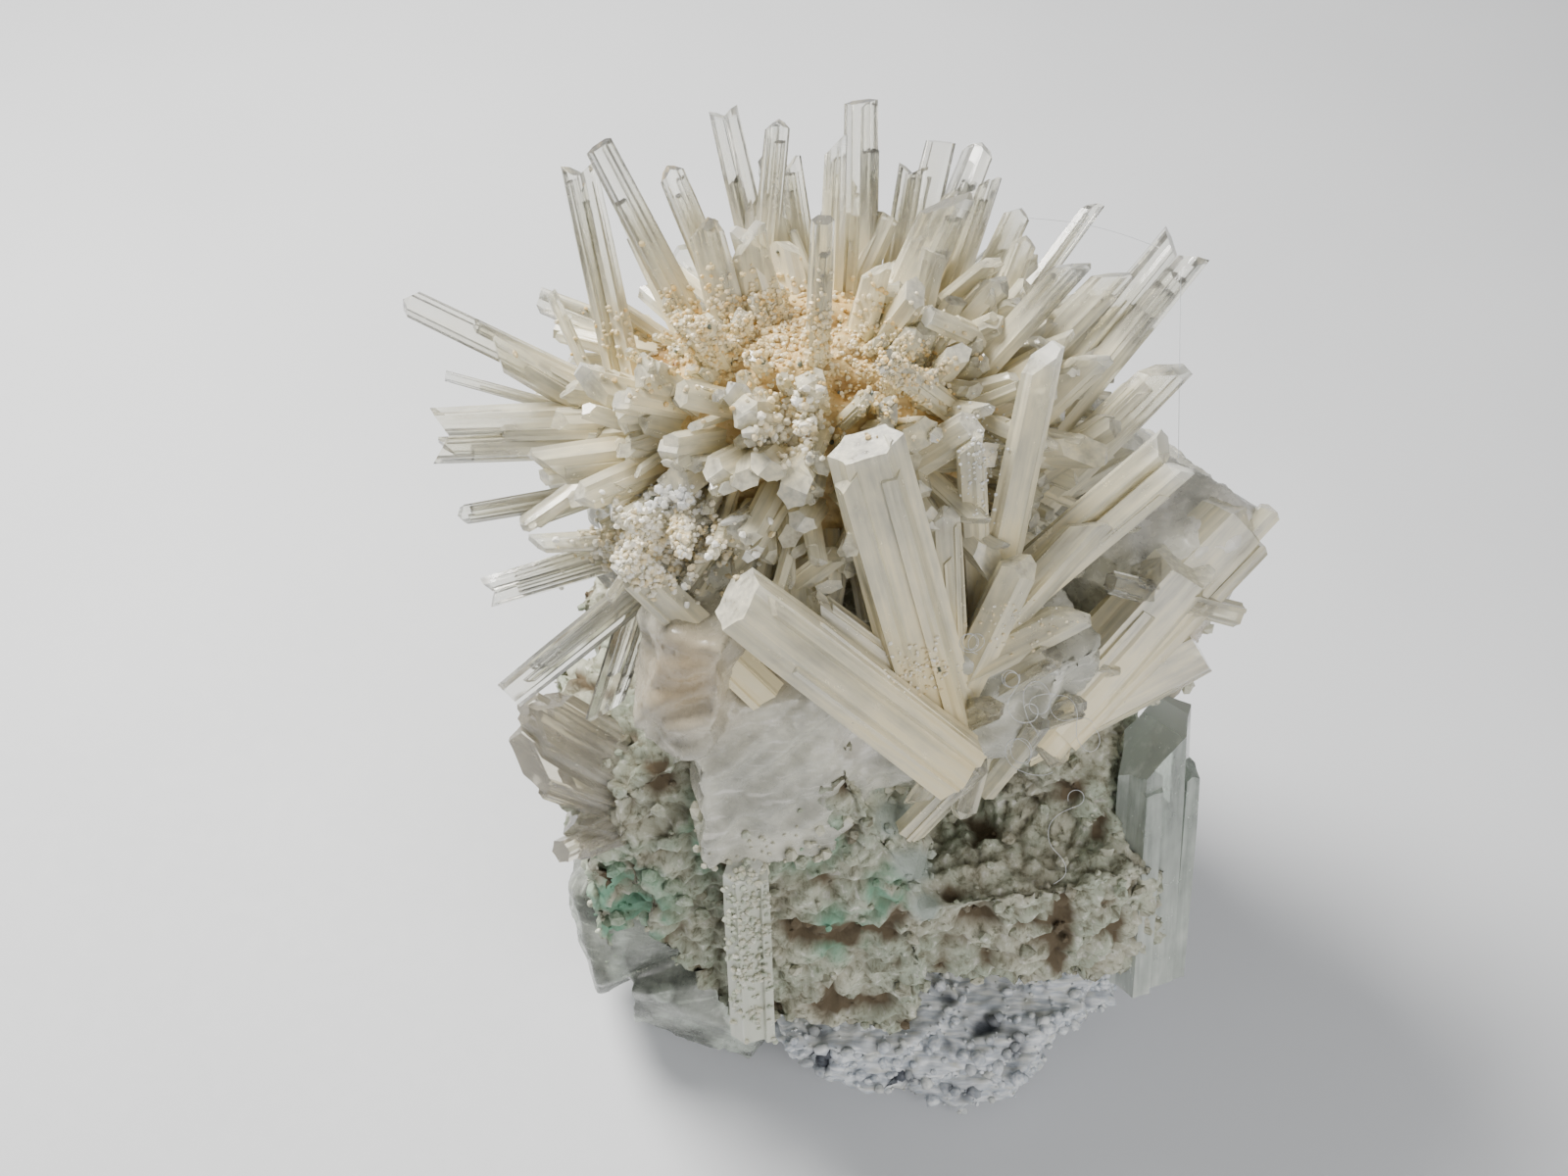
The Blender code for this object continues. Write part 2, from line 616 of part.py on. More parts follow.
def build():
    clear_scene()
    parts = collection("gypsum_specimen")
    bench = collection("bench")
    cutters = collection(CUTTER_GROUP)
    cream = material("crystal_gypsum", (0.74, 0.66, 0.5), 0.2, 0.4)
    grey = material("plate_gypsum", (0.5, 0.55, 0.5), 0.3, 0.4)
    earth = material("earthy_matrix", (0.55, 0.54, 0.4), 0.95)
    white = material("fibrous_gypsum", (0.7, 0.73, 0.78), 0.5)

    fused("gypsum_spray", spray_pieces(bench), parts, cream)
    blades = fused("left_blades", blade_pieces(LEFT_BLADES, bench), parts, cream)
    plate = fused("right_plate", blade_pieces((RIGHT_PLATE,), bench), parts, grey)
    prism = fused("matrix_prism", blade_pieces((MATRIX_PRISM,), bench), parts, grey)
    fused("lower_gypsum", block_pieces(LOWER_GYPSUM, bench), parts, grey)
    fused("fibrous_foot", foot_pieces(bench), parts, white)

    low_pieces(cutters, GAP)
    crystal_pieces(LEFT_SIDE, cutters, GAP)
    foot_pieces(cutters, GAP)
    for set_in in (blades, plate, prism):
        boolean(set_in, cutters, "DIFFERENCE")
        keep_outer_skin(set_in)

    stones = [block(*row, bench, cuts=FRONT_CUTS) for row in MATRIX_FRONT]
    stones += [block(*row, bench, cuts=BACK_CUTS) for row in MATRIX_BACK]
    rock = fused("rock", stones, parts, earth)
    matrix = fused("matrix", [rock] + crumbs(rock, bench), parts, earth)
    blade_pieces(LEFT_BLADES + (RIGHT_PLATE, MATRIX_PRISM), cutters, GAP)
    block_pieces(LOWER_GYPSUM, cutters, GAP)
    for row in PITS:
        lump(*row, cutters, rounds=1)
    floor_block(cutters)
    boolean(matrix, cutters, "DIFFERENCE")
    keep_outer_skin(matrix)
    drop(cutters)
    drop(bench)
    for part in parts.objects:
        part.data.transform(Matrix.Translation(CENTRING * MM))


build()
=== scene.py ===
import math
import random

import bmesh
import bpy
import numpy as np
from mathutils import Euler, Matrix, Vector, noise
from mathutils.bvhtree import BVHTree


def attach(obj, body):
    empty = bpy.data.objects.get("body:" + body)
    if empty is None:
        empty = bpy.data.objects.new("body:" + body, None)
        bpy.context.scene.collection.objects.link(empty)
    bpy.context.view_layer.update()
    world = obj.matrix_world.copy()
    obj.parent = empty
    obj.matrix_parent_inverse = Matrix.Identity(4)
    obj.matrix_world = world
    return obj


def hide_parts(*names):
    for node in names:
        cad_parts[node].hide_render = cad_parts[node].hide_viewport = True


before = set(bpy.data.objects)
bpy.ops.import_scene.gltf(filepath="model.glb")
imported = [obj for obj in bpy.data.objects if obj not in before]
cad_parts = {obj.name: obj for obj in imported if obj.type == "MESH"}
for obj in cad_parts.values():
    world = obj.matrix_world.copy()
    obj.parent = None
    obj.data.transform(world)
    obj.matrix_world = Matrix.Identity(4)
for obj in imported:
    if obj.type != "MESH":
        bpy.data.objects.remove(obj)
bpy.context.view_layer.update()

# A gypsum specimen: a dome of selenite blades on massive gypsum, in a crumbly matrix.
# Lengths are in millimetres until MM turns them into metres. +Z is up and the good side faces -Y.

MM = 0.001
CENTRING = Vector((0.5, 4.6, 0))

# Places are read off the good side: how far to the right, up and toward the eye from the middle
# of the spray.
VIEW_PITCH = math.radians(55)
EYE = Vector((-0.8, -13.6, 152))
SPRAY_CENTRE = Vector((-4.5, 1.0, 70))
RIGHT = Vector((1, 0, 0))
UP = Vector((0, math.sin(VIEW_PITCH), math.cos(VIEW_PITCH)))
TOWARD = Vector((0, -math.cos(VIEW_PITCH), math.sin(VIEW_PITCH)))
FOCAL = 42.75

CORE_PLACE = (2.5, 0, 1)
CORE_RADII = Vector((16.5, 11, 10.5))


def seen(place):
    """The point in the specimen's axes of a place read off the good side."""
    across, up, toward = place
    share = toward / EYE.z
    across += (EYE.x - across) * share
    up += (EYE.y - up) * share
    return SPRAY_CENTRE + RIGHT * across + UP * up + TOWARD * toward


CORE = seen(CORE_PLACE)

# Crystals as rows: where the tip shows, where the seat shows, width, kind of end.
BACK_TOP = (
    ((-16.3, 23.2, 10), (-10.0, 11.2, 5), 2.6, "blunt"),
    ((-17.6, 21.1, 8), (-14.8, 8.0, 4), 3.0, "twin"),
    ((-10.5, 21.4, 6), (-7.4, 14.0, 3), 2.4, "chisel"),
    ((-5.8, 25.6, 4), (-2.8, 12.5, 1), 2.5, "twin"),
    ((-1.2, 25.2, 6), (-2.4, 13.0, 2), 2.2, "chisel"),
    ((-0.3, 21.6, 3), (1.0, 12.5, 0), 2.0, "slant"),
    ((3.5, 23.4, 8), (3.0, 11.0, 4), 2.2, "slant"),
    ((5.5, 27.0, 5), (5.4, 10.4, 1), 3.0, "blunt"),
    ((9.8, 21.0, 2), (8.4, 12.0, 0), 2.6, "twin"),
    ((12.2, 23.6, 0), (9.2, 11.2, -2), 2.8, "blunt"),
    ((15.7, 23.6, -2), (10.8, 11.2, -2), 3.2, "round"),
    ((16.0, 20.2, 4), (12.4, 9.6, 1), 2.6, "slant"),
    ((18.8, 18.0, 2), (14.8, 9.6, 0), 2.4, "chisel"),
    ((24.8, 18.0, -2), (17.0, 7.5, -3), 1.8, "slant"),
)
CROWN = (
    ((2.4, 17.0, 20), (1.8, 2.8, 9), 2.0, "blunt"),
    ((13.2, 19.0, 13), (7.6, 6.8, 5), 4.2, "slant"),
    ((19.2, 15.6, 6), (16.4, 8.0, 3), 2.2, "chisel"),
    ((23.5, 13.4, 14), (12.4, 1.2, 6), 2.8, "slant"),
    ((7.1, 5.2, 19), (12.6, 1.2, 11), 2.2, "blunt"),
    ((10.6, 8.7, 15), (15.5, 6.6, 9), 1.8, "blunt"),
    ((-7.6, 17.2, 12), (-5.0, 7.0, 7), 3.4, "chisel"),
    ((-3.8, 16.0, 12), (-2.6, 8.0, 7), 3.2, "slant"),
    ((7.0, 13.0, 14), (5.2, 6.0, 8), 2.6, "slant"),
    ((17.6, 12.0, 10), (11.6, 5.4, 6), 2.6, "chisel"),
)
RIGHT_SIDE = (
    ((26.9, 12.6, 4), (20.0, 5.6, 1), 3.0, "slant"),
    ((32.2, 14.6, 4), (21.0, 1.0, 0), 4.6, "twin"),
    ((31.4, 5.0, 4), (21.0, -5.2, 0), 3.8, "slant"),
    ((28.4, -2.0, 0), (20.4, -6.4, -2), 2.6, "slant"),
    ((28.6, 9.4, -1), (20.0, 3.0, -2), 3.4, "chisel"),
    ((25.2, 5.8, 9), (18.0, -1.0, 5), 3.0, "slant"),
    ((27.0, 0.6, 8), (19.0, -4.6, 4), 3.0, "chisel"),
)
LEFT_SIDE = (
    ((-21.0, 10.6, 2), (-13.0, 7.6, 2), 1.1, "blunt"),
    ((-20.0, 10.9, 3), (-16.4, 3.0, 2), 1.2, "blunt"),
    ((-32.6, 10.3, 4), (-15.0, 1.8, 1), 2.6, "round"),
    ((-25.0, 6.2, 5), (-15.0, 0.4, 1), 3.0, "slant"),
    ((-28.7, 3.8, 1), (-17.0, 0.6, 0), 1.0, "blunt"),
    ((-29.6, -1.2, 3), (-15.0, -0.6, 1), 4.4, "twin"),
    ((-28.0, -7.8, 0), (-15.2, -5.6, -1), 2.0, "round"),
    ((-21.6, -10.0, 4), (-12.6, -9.6, 2), 1.8, "slant"),
    ((-25.2, -14.0, -3), (-13.8, -10.6, -3), 2.8, "twin"),
    ((-23.9, -22.9, -2), (-11.6, -13.0, -1), 3.0, "blunt"),
    ((-15.8, -24.6, -4), (-12.6, -14.8, -3), 3.2, "slant"),
    ((-21.4, -3.8, 8), (-11.8, -2.6, 4), 3.8, "slant"),
    ((-18.2, -6.6, 10), (-10.6, -3.4, 5), 2.8, "chisel"),
    ((-17.6, 3.4, 10), (-10.6, 1.4, 6), 3.4, "slant"),
    ((-12.8, 4.6, 15), (-8.8, 1.4, 8), 3.2, "chisel"),
)
FRONT_STUBS = (
    ((-9.6, 2.4, 17), (-3.2, 1.0, 9), 2.4, "blunt"),
    ((-11.0, -2.6, 15), (-5.0, -1.6, 8), 3.2, "chisel"),
    ((-7.0, -4.6, 16), (-2.6, -2.6, 9), 3.4, "chisel"),
    ((-14.0, -9.0, 11), (-8.0, -6.4, 6), 2.8, "slant"),
    ((-2.6, -4.0, 18), (-0.6, -2.4, 9), 3.4, "chisel"),
    ((-4.4, 0.6, 19), (-1.6, 0.4, 9), 3.4, "round"),
    ((1.4, 3.4, 19), (1.6, 1.0, 9), 3.0, "round"),
    ((0.4, -8.6, 15), (2.0, -6.0, 7), 2.8, "chisel"),
    ((-4.6, -9.0, 14), (-2.0, -7.0, 6), 3.0, "chisel"),
    ((3.6, -10.6, 11), (0.0, -13.2, 5), 2.4, "slant"),
)
FAN = (
    ((5.4, -0.2, 20), (10.6, -20.0, 5), 6.6, "blunt"),
    ((31.4, -2.4, 14), (18.4, -13.6, 5), 4.2, "twin"),
    ((20.6, 6.2, 18), (16.6, -12.8, 6), 3.2, "slant"),
    ((14.3, -1.1, 16), (14.9, -12.0, 6), 2.4, "slant"),
    ((15.2, 0.0, 16), (8.6, -4.0, 9), 3.0, "blunt"),
    ((12.2, -6.6, 13), (12.8, -18.0, 5), 2.8, "chisel"),
    ((25.0, -7.6, 11), (16.0, -17.4, 5), 3.4, "slant"),
    ((23.6, -15.4, 9), (15.0, -19.6, 4), 3.2, "slant"),
    ((19.0, -10.6, 12), (15.2, -18.4, 5), 3.6, "chisel"),
    ((1.0, -15.0, 9), (8.6, -20.6, 5), 3.4, "slant"),
    ((-14.6, -10.4, 10), (-6.6, -18.0, 4), 3.4, "blunt"),
    ((4.8, -25.6, 9), (10.4, -21.4, 3), 3.4, "slant"),
)
UNDER_FAN = (
    ((21.6, -18.6, 8), (16.6, -21.4, 2), 3.0, "blunt"),
    ((20.2, -24.4, 3), (17.6, -27.6, -4), 2.2, "slant"),
    ((15.4, -27.4, 2), (12.2, -30.6, -4), 2.8, "chisel"),
    ((11.4, -26.6, 5), (13.6, -22.4, 0), 2.6, "slant"),
    ((16.4, -23.0, 6), (13.0, -24.6, 0), 2.6, "slant"),
    ((24.0, -22.8, 2), (19.4, -24.4, -2), 2.6, "chisel"),
    ((9.6, -31.6, -1), (12.6, -27.4, -3), 2.4, "slant"),
    ((13.4, -33.2, -3), (14.6, -28.6, -4), 2.6, "round"),
    ((22.6, -28.6, -4), (19.8, -24.6, -4), 3.2, "chisel"),
    ((26.4, -19.4, 0), (20.6, -20.6, -3), 3.0, "slant"),
)
SMALL_RIGHT = (
    ((25.4, -13.0, 4), (31.6, -14.6, -1), 2.2, "blunt"),
    ((30.0, -10.6, 2), (27.4, -17.0, -3), 4.0, "chisel"),
)

# Thick prisms: tip, seat, width, thickness, kind of end.
THICK_PRISMS = (
    ((-6.0, -13.4, 14), (8.4, -24.4, 7), 6.0, 4.4, "blunt"),
    ((38.6, -5.4, -4), (25.0, -19.4, -4), 7.4, 6.2, "round"),
    ((34.4, -17.4, -9), (24.0, -22.6, -9), 6.6, 5.4, "blunt"),
    ((33.0, -10.4, 0), (24.0, -20.4, -3), 6.4, 5.6, "blunt"),
)
LEFT_BLADES = (
    ((-23.4, -22.4, -5), (-12.6, -29.0, -13), 6.6, 3.4, "point"),
    ((-23.0, -27.0, -7), (-12.0, -31.0, -14), 5.6, 3.4, "slant"),
    ((-20.4, -34.4, -10), (-12.0, -30.6, -15), 6.8, 4.0, "point"),
)
RIGHT_PLATE = ((29.6, -24.0, -13.5), (28.6, -41.0, -32), 8.0, 5.4, "slant")
MATRIX_PRISM = ((-4.2, -35.8, -7.5), (-3.6, -46.0, -19.5), 4.2, 3.0, "blunt")

# Broken blocks: middle, half sizes, turn about the upright and tilt to the back, breaks, seed.
MASSIVE_BLOCKS = (
    ((-13.0, -14.5, 58.0), (4.6, 5.0, 7.4), -24, 14, 5, 3),
    ((-5.0, -14.0, 47.5), (9.0, 7.0, 9.5), 12, 20, 7, 5),
    ((9.5, -11.0, 51.5), (11.0, 8.5, 10.0), -8, 10, 7, 8),
    ((24.5, 0.0, 50.0), (9.0, 10.0, 12.0), 20, 8, 8, 12),
    ((-11.0, -2.0, 60.0), (8.5, 9.0, 8.0), 30, 0, 8, 17),
)
TRUNK = ((2.0, 2.0, 51.0), (23.0, 16.0, 17.0), 15, 21)
LOWER_GYPSUM = (
    ((-19.5, -16.5, 17.0), (6.6, 6.4, 8.0), 20, 10, 7, 31),
    ((-12.5, -20.5, 8.0), (6.6, 6.0, 6.2), -14, 0, 7, 37),
)
MATRIX_BLOCKS = (
    ((-4.0, -17.0, 33.0), (12.0, 8.0, 18.0), -6, 14, 8, 47),
    ((18.0, -15.5, 21.5), (12.5, 10.5, 9.5), 8, 16, 8, 53),
    ((-17.0, -11.0, 27.0), (8.5, 10.0, 14.0), 12, 4, 8, 59),
    ((-16.0, -13.0, 39.5), (7.0, 7.0, 8.0), 24, 10, 7, 61),
    ((2.0, -4.0, 9.0), (16.0, 14.0, 10.5), 6, 0, 8, 41),
    ((20.5, -7.0, 32.0), (8.0, 9.0, 11.0), -10, 6, 8, 67),
    ((5.0, 5.0, 12.0), (18.0, 14.0, 12.5), 24, 0, 9, 43),
    ((-9.0, 5.0, 30.0), (14.0, 12.0, 13.0), 28, 6, 9, 73),
    ((13.0, 5.0, 31.0), (14.0, 12.0, 14.0), -18, 4, 9, 74),
    ((3.0, 11.0, 27.0), (12.0, 9.0, 14.0), 6, -8, 9, 75),
)
PITS = (
    ((12.5, -24.5, 29.5), (2.6, 3.4, 2.2)),
    ((20.0, -25.0, 26.5), (2.8, 3.6, 1.8)),
    ((25.0, -23.0, 24.5), (1.8, 3.0, 1.6)),
    ((-16.0, -20.5, 46.0), (2.2, 3.0, 1.8)),
    ((3.0, -31.0, 20.5), (3.4, 3.6, 1.8)),
)

# Ledges: middle, half sizes, turn and tilt in degrees.
FOOT_LEDGES = (
    ((13.5, -24.0, 3.2), (10.0, 9.0, 1.7), 12, 3),
    ((6.0, -24.5, 6.2), (11.5, 8.0, 1.7), 8, 4),
    ((22.5, -19.0, 6.2), (9.5, 6.6, 1.6), 28, -4),
    ((15.5, -22.5, 8.8), (12.0, 8.6, 1.7), 14, 4),
    ((2.5, -24.5, 9.8), (10.0, 7.0, 1.7), 6, 5),
    ((24.5, -17.5, 11.2), (8.5, 6.6, 1.6), 26, -4),
)

# Where the photograph shows grains: across and up from the middle of the spray, reach each way,
# number of grains, their size and kind.
GRAIN_SPOTS = (
    ((-4.0, 7.2), (11.0, 4.2), 1500, (0.22, 0.62), "druse"),
    ((8.0, 4.0), (6.0, 4.0), 500, (0.2, 0.55), "druse"),
    ((-11.2, -10.2), (5.6, 3.2), 900, (0.25, 0.8), "crust"),
    ((0.2, -0.4), (3.0, 3.0), 190, (0.3, 0.9), "crust"),
    ((-10.0, -6.4), (2.6, 1.0), 160, (0.3, 0.9), "snow"),
    ((10.6, -20.0), (3.0, 2.4), 110, (0.15, 0.45), "crust"),
    ((15.4, -3.0), (1.6, 5.4), 110, (0.12, 0.4), "snow"),
    ((18.0, -16.4), (5.0, 2.6), 70, (0.12, 0.35), "crust"),
    ((-3.9, -42.0), (2.6, 9.0), 420, (0.2, 0.8), "dust"),
)

# Green stains on the matrix: across and up, reach.
GREEN_SPOTS = (
    ((-6.0, -34.0), 3.4),
    ((1.2, -34.4), 2.6),
    ((7.6, -38.8), 2.2),
    ((-13.6, -40.0), 4.0),
    ((-12.0, -46.5), 3.0),
    ((3.6, -42.0), 2.4),
)


class Heap:
    """Gathers many small closed shapes into one mesh, with three numbers for each corner."""

    def __init__(self):
        self.points = []
        self.faces = []
        self.own = []
        self.look = []

    def add(self, bm, own, look):
        """own and look give a corner's three numbers, the first in the shape's own axes."""
        start = len(self.points)
        bm.verts.index_update()
        self.points.extend(tuple(vertex.co) for vertex in bm.verts)
        self.own.extend(own)
        self.look.extend(look)
        self.faces.extend([start + vertex.index for vertex in face.verts] for face in bm.faces)
        bm.free()

    def piece(self, name, look):
        mesh = bpy.data.meshes.new(name)
        mesh.from_pydata([(Vector(p) + CENTRING) * MM for p in self.points], [], self.faces)
        for layer, rows in (("own", self.own), ("look", self.look)):
            made = mesh.attributes.new(layer, "FLOAT_VECTOR", "POINT")
            made.data.foreach_set("vector", np.array(rows, dtype=np.float32).ravel())
        mesh.materials.append(look)
        mesh.update()
        made = bpy.data.objects.new(name, mesh)
        bpy.context.scene.collection.objects.link(made)
        return made


def slice_off(bm, point, normal):
    """Cuts away what lies beyond a plane and closes the cut."""
    geometry = bm.verts[:] + bm.edges[:] + bm.faces[:]
    cut = bmesh.ops.bisect_plane(
        bm, geom=geometry, plane_co=point, plane_no=normal, clear_outer=True
    )
    rim = [item for item in cut["geom_cut"] if isinstance(item, bmesh.types.BMEdge)]
    if rim:
        bmesh.ops.edgeloop_fill(bm, edges=rim)


def random_direction(chance):
    height = chance.uniform(-1, 1)
    turn = chance.uniform(0, 2 * math.pi)
    flat = math.sqrt(1 - height * height)
    return Vector((flat * math.cos(turn), flat * math.sin(turn), height))


# The outline of a blade in sixths of its width and thickness: two broad faces, four narrow ones.
BLADE_OUTLINE = ((1, 0), (0.56, 0.94), (-0.5, 1), (-1, 0.06), (-0.56, -0.94), (0.5, -1))
GROOVES = 3
GROOVE_DEPTH = 0.07
TAPERS = ((0, 1.0), (0.4, 0.97), (0.75, 0.93), (1, 0.86))
ENDS = {
    "chisel": ((0.62, 0.1, 0.78), (-0.45, 0.2, 0.87)),
    "slant": ((0.7, 0.25, 0.67),),
    "blunt": ((0.12, 0.18, 0.97),),
    "point": ((0.75, 0.3, 0.6), (-0.75, 0.25, 0.62), (0.1, -0.8, 0.6)),
    "round": ((0.6, 0.2, 0.77), (-0.6, 0.2, 0.77), (0, -0.5, 0.86), (0, 0.6, 0.8)),
}
TWIN_SLOPE = 0.62
SINK = 7.0


def lath(length, width, thick, normals, chance, grooves=GROOVES):
    """A grooved prism along +Z from the origin, its far end cut by the planes."""
    outline = []
    for index, (x, y) in enumerate(BLADE_OUTLINE):
        x2, y2 = BLADE_OUTLINE[(index + 1) % len(BLADE_OUTLINE)]
        for step in range(grooves):
            share = (step + chance.uniform(0, 0.5)) / grooves if step else 0
            dip = 1 - (chance.uniform(0, GROOVE_DEPTH) if step else 0)
            outline.append(((x + (x2 - x) * share) * dip, (y + (y2 - y) * share) * dip))
    bm = bmesh.new()
    rings = []
    for level, taper in TAPERS:
        side = taper * chance.uniform(0.985, 1.015)
        rings.append([
            bm.verts.new((x * width / 2 * side, y * thick / 2 * side, level * length))
            for x, y in outline
        ])
    for low, high in zip(rings, rings[1:]):
        for index in range(len(outline)):
            after = (index + 1) % len(outline)
            bm.faces.new((low[index], low[after], high[after], high[index]))
    bm.faces.new(rings[0][::-1])
    bm.faces.new(rings[-1])
    shoulder = length - 0.28 * width
    for normal in normals:
        slice_off(bm, Vector((0, 0, shoulder)), Vector(normal).normalized())
    bmesh.ops.recalc_face_normals(bm, faces=bm.faces)
    return bm


def stance(seat, tip, roll):
    """The turn that takes a prism standing on the origin to the way from seat to tip."""
    along = (tip - seat).normalized()
    through = TOWARD - along * TOWARD.dot(along)
    if through.length < 0.2:
        through = UP - along * UP.dot(along)
    through.normalize()
    across = through.cross(along)
    frame_turn = Matrix((across, through, along)).transposed().to_4x4()
    return Matrix.Translation(seat) @ frame_turn @ Matrix.Rotation(roll, 4, "Z")


def milkiness(point):
    """1 in the milky heart of the spray, falling to 0 at its clear tips."""
    away = point - CORE
    reach = math.sqrt(sum((a / b) ** 2 for a, b in zip(away, CORE_RADII)))
    return min(max(1.0 - (reach - 1.0) / 1.0, 0.0), 1.0)


def blade(heap, tip, seat, width, thick, end, roll, chance, milk=None, laths=3, sink=SINK):
    """One crystal: a main prism with thinner ones grown along it, which end in steps."""
    along = (tip - seat).normalized()
    root = seat - along * sink
    length = (tip - root).length
    number = chance.random()
    shapes = []
    if end == "twin":
        for side, slope in ((0.24, -TWIN_SLOPE), (-0.24, TWIN_SLOPE)):
            shape = lath(length, width * 0.62, thick, ((slope, 0, 1),), chance)
            shapes.append((shape, side * width, 0.0, 0.0))
    else:
        shapes.append((lath(length, width, thick, ENDS[end], chance), 0.0, 0.0, 0.0))
    for _ in range(laths - 1):
        share = chance.uniform(0.72, 0.985)
        size = chance.uniform(0.26, 0.5)
        normals = ENDS[chance.choice(("slant", "chisel", "blunt"))]
        shape = lath(length * share, width * size, thick * chance.uniform(0.5, 1.02), normals, chance)
        side = chance.uniform(-0.5, 0.5) * (1 - size)
        depth = chance.uniform(-0.22, 0.22)
        shapes.append((shape, side * width, depth * thick, chance.uniform(-0.02, 0.02)))
    turn = stance(root, root + along, roll)
    shift = Vector((chance.uniform(0, 90), chance.uniform(0, 90), chance.uniform(0, 90)))
    for shape, side, depth, lean in shapes:
        bmesh.ops.transform(
            shape,
            matrix=Matrix.Translation((side, depth, 0)) @ Matrix.Rotation(lean, 4, "Y"),
            verts=shape.verts,
        )
        own = [tuple(vertex.co + shift) for vertex in shape.verts]
        bmesh.ops.transform(shape, matrix=turn, verts=shape.verts)
        look = []
        for vertex in shape.verts:
            fog = milkiness(vertex.co) if milk is None else milk
            reach = (vertex.co - root).dot(along) / length
            if milk is not None:
                fog = min(max(milk + (0.5 - reach) * 0.5, 0), 1)
            look.append((fog, reach, number))
        heap.add(shape, own, look)


def rows_of(heap, rows, chance, milk=None):
    rolls = random.Random(7)
    for tip, seat, width, end in rows:
        thick = width * chance.uniform(0.5, 0.68)
        roll = rolls.uniform(-0.5, 0.5)
        laths = 2 + round(width / 2)
        blade(heap, seen(tip), seen(seat), width, thick, end, roll, chance, milk, laths)


def thick_rows(heap, rows, chance, milk, laths=4):
    for tip, seat, width, thick, end in rows:
        blade(heap, seen(tip), seen(seat), width, thick, end, 0.3, chance, milk, laths)


def ray_ways(count, lowest, chance):
    """Directions on an even spiral from the top of the core down to a height."""
    golden_turn = math.pi * (3 - math.sqrt(5))
    for index in range(count):
        height = 0.99 - (0.99 - lowest) * (index + 0.5) / count
        flat = math.sqrt(max(1 - height * height, 0))
        turn = golden_turn * index + chance.uniform(-0.1, 0.1)
        yield Vector((flat * math.cos(turn), flat * math.sin(turn), height))


# The solid's box in the specimen's axes. Crystals that are not in the rows stay inside it.
BOX_LOW = Vector((-35.7, -33.6, 0))
BOX_HIGH = Vector((34.7, 24.8, 93.4))

# Rays of the core, as in the solid: long ones on the hidden side, stubs on the good side.
LONG_RAYS = {"count": 40, "front": False, "length": (9, 16), "width": (2.2, 4.4), "seed": 11}
STUB_RAYS = {"count": 50, "front": True, "length": (3.5, 7.5), "width": (2.8, 4.6), "seed": 17}
RIM = 0.15

# Thinner ones between them.
BACK_FILL = {"count": 210, "front": False, "length": (5, 12), "width": (1.0, 2.4), "seed": 101}
FRONT_FILL = {"count": 420, "front": True, "length": (2.5, 7.0), "width": (1.1, 2.8), "seed": 103}

# The part of the good side where golden grains show between few crystals: across and up.
DRUSE_ACROSS = (-15.5, 6.5)
DRUSE_UP = (2.2, 10.8)

# Blocky crystals round the hidden flanks of the massive gypsum, as in the solid.
FLANK_COUNT = 20
FLANK_TURNS = (-24, 204)
FLANK_RISE = (-10, 55)
FLANK_START = Vector((18, 12.5, 10))
FLANK_LENGTH = (6, 11)
FLANK_WIDTH = (4.0, 8.0)

# Stains and spots, each by its middle, across and up, and its reach.
TAN_SPOTS = (((-9.2, -21.0), 4.8), ((32.0, -19.2), 3.2), ((-2.0, -19.0), 3.0))
WHITE_SPOTS = (((36.0, -8.4), 4.2), ((28.0, -6.0), 5.0), ((30.0, -14.6), 3.4), ((5.6, -26.0), 2.4))
GLASSY_SPOTS = (((7.4, -28.6), 1.8), ((8.6, -32.4), 1.7), ((9.8, -36.4), 1.8), ((10.8, -39.6), 1.4))

FRONT_BLOCKS = 4
FRONT_CUTS = 3
BACK_CUTS = 1
JITTER = 0.09
LEDGE_SIDES = 11
LEDGE_REACH = (0.78, 1.1)
MATRIX_CELL = 0.5
MASSIVE_CELL = 0.5
LOWER_CELL = 0.45
FOOT_CELL = 0.36
CRUMB_COUNT = 2600
CRUMB_SIZE = (0.3, 2.0)


def inside(point):
    """Whether a point lies in the solid's box."""
    return all(low < value < high for low, value, high in zip(BOX_LOW, point, BOX_HIGH))


def shown(point):
    """How far right, up and toward the eye a point of the specimen shows."""
    away = point - SPRAY_CENTRE
    toward = away.dot(TOWARD)
    share = toward / EYE.z
    across = (away.dot(RIGHT) - EYE.x * share) / (1 - share)
    up = (away.dot(UP) - EYE.y * share) / (1 - share)
    return across, up, toward


def in_druse(point):
    across, up, _ = shown(point)
    return DRUSE_ACROSS[0] < across < DRUSE_ACROSS[1] and DRUSE_UP[0] < up < DRUSE_UP[1]


def spot_share(across, up, spots):
    """How strongly the nearest of some round spots covers a place, from 0 to 1."""
    return max(
        math.exp(-((across - a) ** 2 + (up - u) ** 2) / reach ** 2) for (a, u), reach in spots
    )


def rays(count, front, length, width, seed):
    """Crystals of one side of the core, as rows of places in the specimen's own axes."""
    chance = random.Random(seed)
    golden_turn = math.pi * (3 - math.sqrt(5))
    rows = []
    for index in range(count):
        height = 0.98 - 1.5 * (index + 0.5) / count
        flat = math.sqrt(1 - height * height)
        turn = golden_turn * index
        way = Vector((flat * math.cos(turn), flat * math.sin(turn), height))
        toward = way.dot(TOWARD)
        if front and toward < RIM or not front and toward > -RIM:
            continue
        seat = CORE + Vector([a * b for a, b in zip(way, CORE_RADII)])
        lean = (way + 0.22 * random_direction(chance)).normalized()
        tip = seat + lean * chance.uniform(*length)
        end = chance.choice(("chisel", "slant", "blunt", "chisel"))
        rows.append((tip, seat, chance.uniform(*width), end, chance.uniform(0, math.pi)))
    return rows


